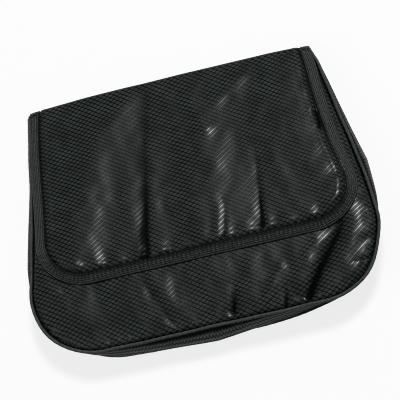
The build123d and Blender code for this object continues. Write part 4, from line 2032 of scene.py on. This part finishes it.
@dataclass
class Strap:
    """A strap behind the pouch: sewn end, fold, free webbing, hook tape and loop tape.

    Attributes:
        form: The shared sizes.
        name: Which strap it is, as the frame's bodies say it.
        x: Place of its middle.
        width: Width of the webbing and its tapes.
        thickness: Thickness of the webbing.
        length: Length of its free part.
        fold_drop: How far under the panel's top line its fold lies.
        fold_round: Radius of the fold.
        fold_z: Height of the fold's middle above the table.
        anchor_length: Length of the sewn end.
        hook_length: Length of the hook tape.
        loop_length: Length of the loop tape.
        tape: Thickness of the hook tape and the loop tape.
        hook_top: Height above the table of the hook tape's upper side.
        hook_z: Height above the table of the hooks' middles.
        hook_height: Height of a hook.
        hook_pitch: Distance between rows of hooks.
        tip_round: Radius of the webbing's rounded tip.
        box_half: Half of the width of the stitched box.
        box_height: Height of the stitched box.
    """

    form: PouchForm
    name: str
    x: float
    width: float = 25.0
    thickness: float = 1.2
    length: float = 190.0
    fold_drop: float = 14.0
    fold_round: float = 1.72
    fold_z: float = 1.75
    anchor_length: float = 30.0
    hook_length: float = 60.0
    loop_length: float = 90.0
    tape: float = 0.8
    hook_top: float = 2.05
    hook_z: float = 2.22
    hook_height: float = 0.45
    hook_pitch: float = 1.7
    tip_round: float = 6.0
    box_half: float = 9.5
    box_height: float = 22.0

    def path(self) -> Array:
        """Y and Z of the webbing's outer side, from its sewn end round the fold to its tip."""
        fold_y = self.form.panel.top_y - self.fold_drop
        radius, middle = self.fold_round, self.fold_z
        sewn = np.linspace(fold_y - self.anchor_length - 2, fold_y, 18)
        upper = joined(sewn, middle + radius)
        angle = np.linspace(math.pi / 2, -math.pi / 2, 15)[1:-1]
        fold = joined(fold_y + radius * np.cos(angle), middle + radius * np.sin(angle))
        lower = joined(np.linspace(fold_y, fold_y - self.length, 96), middle - radius)
        return np.concatenate([upper, fold, lower])

    def webbing(self) -> Piece:
        """The whole webbing in one piece, its transform baked into its mesh."""
        line = self.path()
        run = np.concatenate([[0], np.cumsum(np.hypot(*np.diff(line, axis=0).T))])
        short = np.maximum(self.tip_round - (run[-1] - run), 0)
        inset = self.tip_round - np.sqrt(np.maximum(0, self.tip_round**2 - short**2))
        across = np.linspace(-1, 1, 14)[:, None]
        x = self.x + across * (self.width / 2 - inset)[None, :]
        face = joined(x, line[None, :, 0], line[None, :, 1])
        weave = joined(x, run[None, :])
        made = sheet_piece(f"strap_webbing_{self.name}", face[::-1], weave[::-1], self.thickness, WEBBING)
        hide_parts(f"strap_web_{self.name}", f"strap_anchor_{self.name}")
        x, y = self.x * METRES, (self.form.panel.top_y - self.fold_drop) * METRES
        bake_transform(made)
        return made

    def strip(self, word: str, low_y: float, length: float, z: float, finish: ClothFinish) -> Piece:
        """A strip of hook or loop tape.

        Args:
            word: "hook" for tape that faces up, or "loop" for tape that faces the table.
            low_y: Y of its lower end.
            length: Its length.
            z: Height of its pile side.
            finish: The finish that covers it.

        Returns:
            The new object.
        """
        x = self.x + np.linspace(-0.5, 0.5, 12)[:, None] * self.width
        y = np.linspace(low_y + length, low_y, 40)[None, :]
        face, plan = joined(x, y, z), joined(x, y)
        if word == "loop":
            face, plan = face[::-1], plan[::-1]
        made = sheet_piece(f"strap_{word}_tape_{self.name}", face, plan, self.tape, finish)
        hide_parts(f"strap_{word}_{self.name}")
        return made

    def hooks(self, low_y: float) -> Piece:
        """Rows of hooks on the strap's hook tape."""
        rows = int(self.hook_length / self.hook_pitch)
        x = self.x + np.linspace(-0.46, 0.46, 14)[:, None] * self.width
        y = low_y + np.linspace(0.02, 0.98, rows)[None, :] * self.hook_length
        places = joined(x, y, self.hook_z).reshape(-1, 3)
        return hook_piece(f"strap_hooks_{self.name}", places, self.hook_height, False, 5)

    def build(self) -> None:
        """Builds the strap."""
        body = f"strap_{self.name}"
        fold_y = self.form.panel.top_y - self.fold_drop
        tip_y = fold_y - self.length
        self.webbing()
        low_y = tip_y + self.tip_round
        hook = self.strip("hook", low_y, self.hook_length, self.hook_top, HOOK_BASE)
        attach(hook, body)
        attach(self.hooks(low_y), body)
        loop = self.strip("loop", tip_y - 5, self.loop_length, self.form.back_z - self.thickness, LOOP_PILE)
        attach(loop, Body.POUCH.value)
        y = fold_y - 4 - self.box_height * np.array([0, 1, 1, 0, 0, 1, 0, 1])
        x = self.x + self.box_half * np.array([-1, -1, 1, 1, -1, 1, 1, -1])
        line = joined(x, y, self.form.back_z + 1.05)
        box = stitch_piece(f"strap_box_stitches_{self.name}", line, 2.8, 0.3)
        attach(box, Body.POUCH.value)


@dataclass(frozen=True)
class Lamp:
    """A square soft lamp that looks at the pouch.

    Attributes:
        name: Its name.
        azimuth: Bearing in degrees from +Y, towards +X.
        elevation: Height in degrees above the table.
        reach: Distance from the pouch in metres.
        size: Width in metres.
        power: Power in watts.
    """

    name: str
    azimuth: float
    elevation: float
    reach: float
    size: float
    power: float

    def build(self) -> None:
        """Hangs the lamp."""
        data = bpy.data.lights.new(self.name, "AREA")
        data.shape = "SQUARE"
        data.size = self.size
        data.energy = self.power
        a, e = math.radians(self.azimuth), math.radians(self.elevation)
        away = Vector((math.sin(a) * math.cos(e), math.cos(a) * math.cos(e), math.sin(e)))
        turn = away.to_track_quat("Z", "Y").to_matrix().to_4x4()
        made = bpy.data.objects.new(self.name, data)
        made.matrix_world = Matrix.Translation(away * self.reach) @ turn
        bpy.context.scene.collection.objects.link(made)


@dataclass
class Studio:
    """Camera, lamps, floor and world.

    Attributes:
        azimuth: How far the camera stands round to the pouch's right, in degrees.
        elevation: Its height above the table, in degrees.
        roll: Its turn about its own line of sight, in degrees.
        lens: Its focal length in millimetres.
        sensor: Width of its sensor in millimetres.
        distance: How far it stands from the pouch, in metres.
        per_pixel: Millimetres at the pouch to a pixel of the photo.
        anchor: A place on the pouch, in the middle of its folded top.
        anchor_pixel: Where the photo shows that place.
        middle_pixel: The photo's middle.
        far: How far the camera sees, in metres.
        pixel_blur: Width of the pixel filter.
        lamps: The lamps.
        world_strength: Strength of the even light from all round.
        floor_half: Half of the width of the table, in metres.
        floor_white: The table's shade.
        floor_rough: The table's roughness.
        floor_glow: Share of plain white that the camera sees in the table.
    """

    azimuth: float = 22.0
    elevation: float = 66.0
    roll: float = 33.56
    lens: float = 208.0
    sensor: float = 36.0
    distance: float = 2.507
    per_pixel: float = 1.085
    anchor: tuple[float, float, float] = (0.0, 147.5, 31.5)
    anchor_pixel: tuple[float, float] = (170.0, 79.5)
    middle_pixel: tuple[float, float] = (200.0, 200.0)
    far: float = 50.0
    pixel_blur: float = 1.0
    lamps: tuple[Lamp, Lamp] = (
        Lamp("key", 33.0, 64.5, 4.0, 0.9, 135.0),
        Lamp("fill", -120.0, 45.0, 2.6, 1.6, 11.0),
    )
    world_strength: float = 0.15
    floor_half: float = 6.0
    floor_white: Colour = (0.86, 0.86, 0.86)
    floor_rough: float = 0.9
    floor_glow: float = 0.8

    def axes(self) -> tuple[Vector, Vector, Vector]:
        """The camera's right, up and backward directions."""
        a, e, r = (math.radians(v) for v in (self.azimuth, self.elevation, self.roll))
        right = Vector((math.cos(a), math.sin(a), 0))
        up = Vector((-math.sin(a) * math.sin(e), math.cos(a) * math.sin(e), math.cos(e)))
        back = Vector((math.sin(a) * math.cos(e), -math.cos(a) * math.cos(e), math.sin(e)))
        return right * math.cos(r) - up * math.sin(r), right * math.sin(r) + up * math.cos(r), back

    def camera(self) -> None:
        """The photograph's view."""
        right, up, back = self.axes()
        aim = Vector(self.anchor) * METRES
        aim += right * (self.middle_pixel[0] - self.anchor_pixel[0]) * self.per_pixel * METRES
        aim -= up * (self.middle_pixel[1] - self.anchor_pixel[1]) * self.per_pixel * METRES
        data = bpy.data.cameras.new("camera")
        data.lens = self.lens
        data.sensor_width = self.sensor
        data.clip_end = self.far
        made = bpy.data.objects.new("camera", data)
        turn = Matrix((right, up, back)).transposed()
        made.matrix_world = Matrix.Translation(aim + back * self.distance) @ turn.to_4x4()
        bpy.context.scene.collection.objects.link(made)
        bpy.context.scene.camera = made

    def floor(self) -> None:
        """A wide white table that keeps a faint shadow."""
        mesh = bpy.data.meshes.new("floor")
        half = self.floor_half
        corners = [(-half, -half, 0), (half, -half, 0), (half, half, 0), (-half, half, 0)]
        mesh.from_pydata(corners, [], [(0, 1, 2, 3)])
        made = bpy.data.objects.new("floor", mesh)
        bpy.context.scene.collection.objects.link(made)
        material = bpy.data.materials.new("white_table")
        material.use_nodes = True
        graph = Graph(material.node_tree)
        shader = material.node_tree.nodes["Principled BSDF"]
        shader.inputs["Base Color"].default_value = rgba(self.floor_white)
        shader.inputs["Roughness"].default_value = self.floor_rough
        shader.inputs["Specular IOR Level"].default_value = 0.0
        glow = graph.node("ShaderNodeEmission", {"Color": rgba((1, 1, 1)), "Strength": 1.0})
        path = graph.node("ShaderNodeLightPath")
        seen = graph.math("MULTIPLY", path.outputs["Is Camera Ray"], self.floor_glow)
        mixed = graph.node("ShaderNodeMixShader", {0: seen, 1: shader.outputs[0], 2: glow.outputs[0]})
        graph.feed(material.node_tree.nodes["Material Output"].inputs["Surface"], mixed.outputs[0])
        mesh.materials.append(material)

    def world(self) -> None:
        """Even white light, which the camera sees as plain white."""
        made = bpy.data.worlds.new("studio")
        made.use_nodes = True
        graph = Graph(made.node_tree)
        background = made.node_tree.nodes["Background"]
        background.inputs["Color"].default_value = rgba((1, 1, 1))
        path = graph.node("ShaderNodeLightPath")
        lit = graph.ramp(path.outputs["Is Camera Ray"], 0.0, 1.0, self.world_strength, 1.0)
        graph.feed(background.inputs["Strength"], lit)
        bpy.context.scene.world = made

    def build(self) -> None:
        """Sets the whole studio."""
        self.camera()
        for lamp in self.lamps:
            lamp.build()
        self.floor()
        self.world()
        bpy.context.scene.cycles.filter_width = self.pixel_blur
        bpy.context.scene.view_settings.view_transform = "Standard"


def main() -> None:
    """Builds the pouch piece by piece."""
    logging.basicConfig(level=logging.INFO, format="%(message)s")
    form = PouchForm()
    Studio().build()
    shell = Shell(form)
    shell.build()
    flap = Flap(form)
    flap.build()
    Closure(form, shell, flap).build()
    for name, x in (("left", -105.0), ("centre", 0.0), ("right", 105.0)):
        Strap(form, name, x).build()


if __name__ == "__main__":
    main()
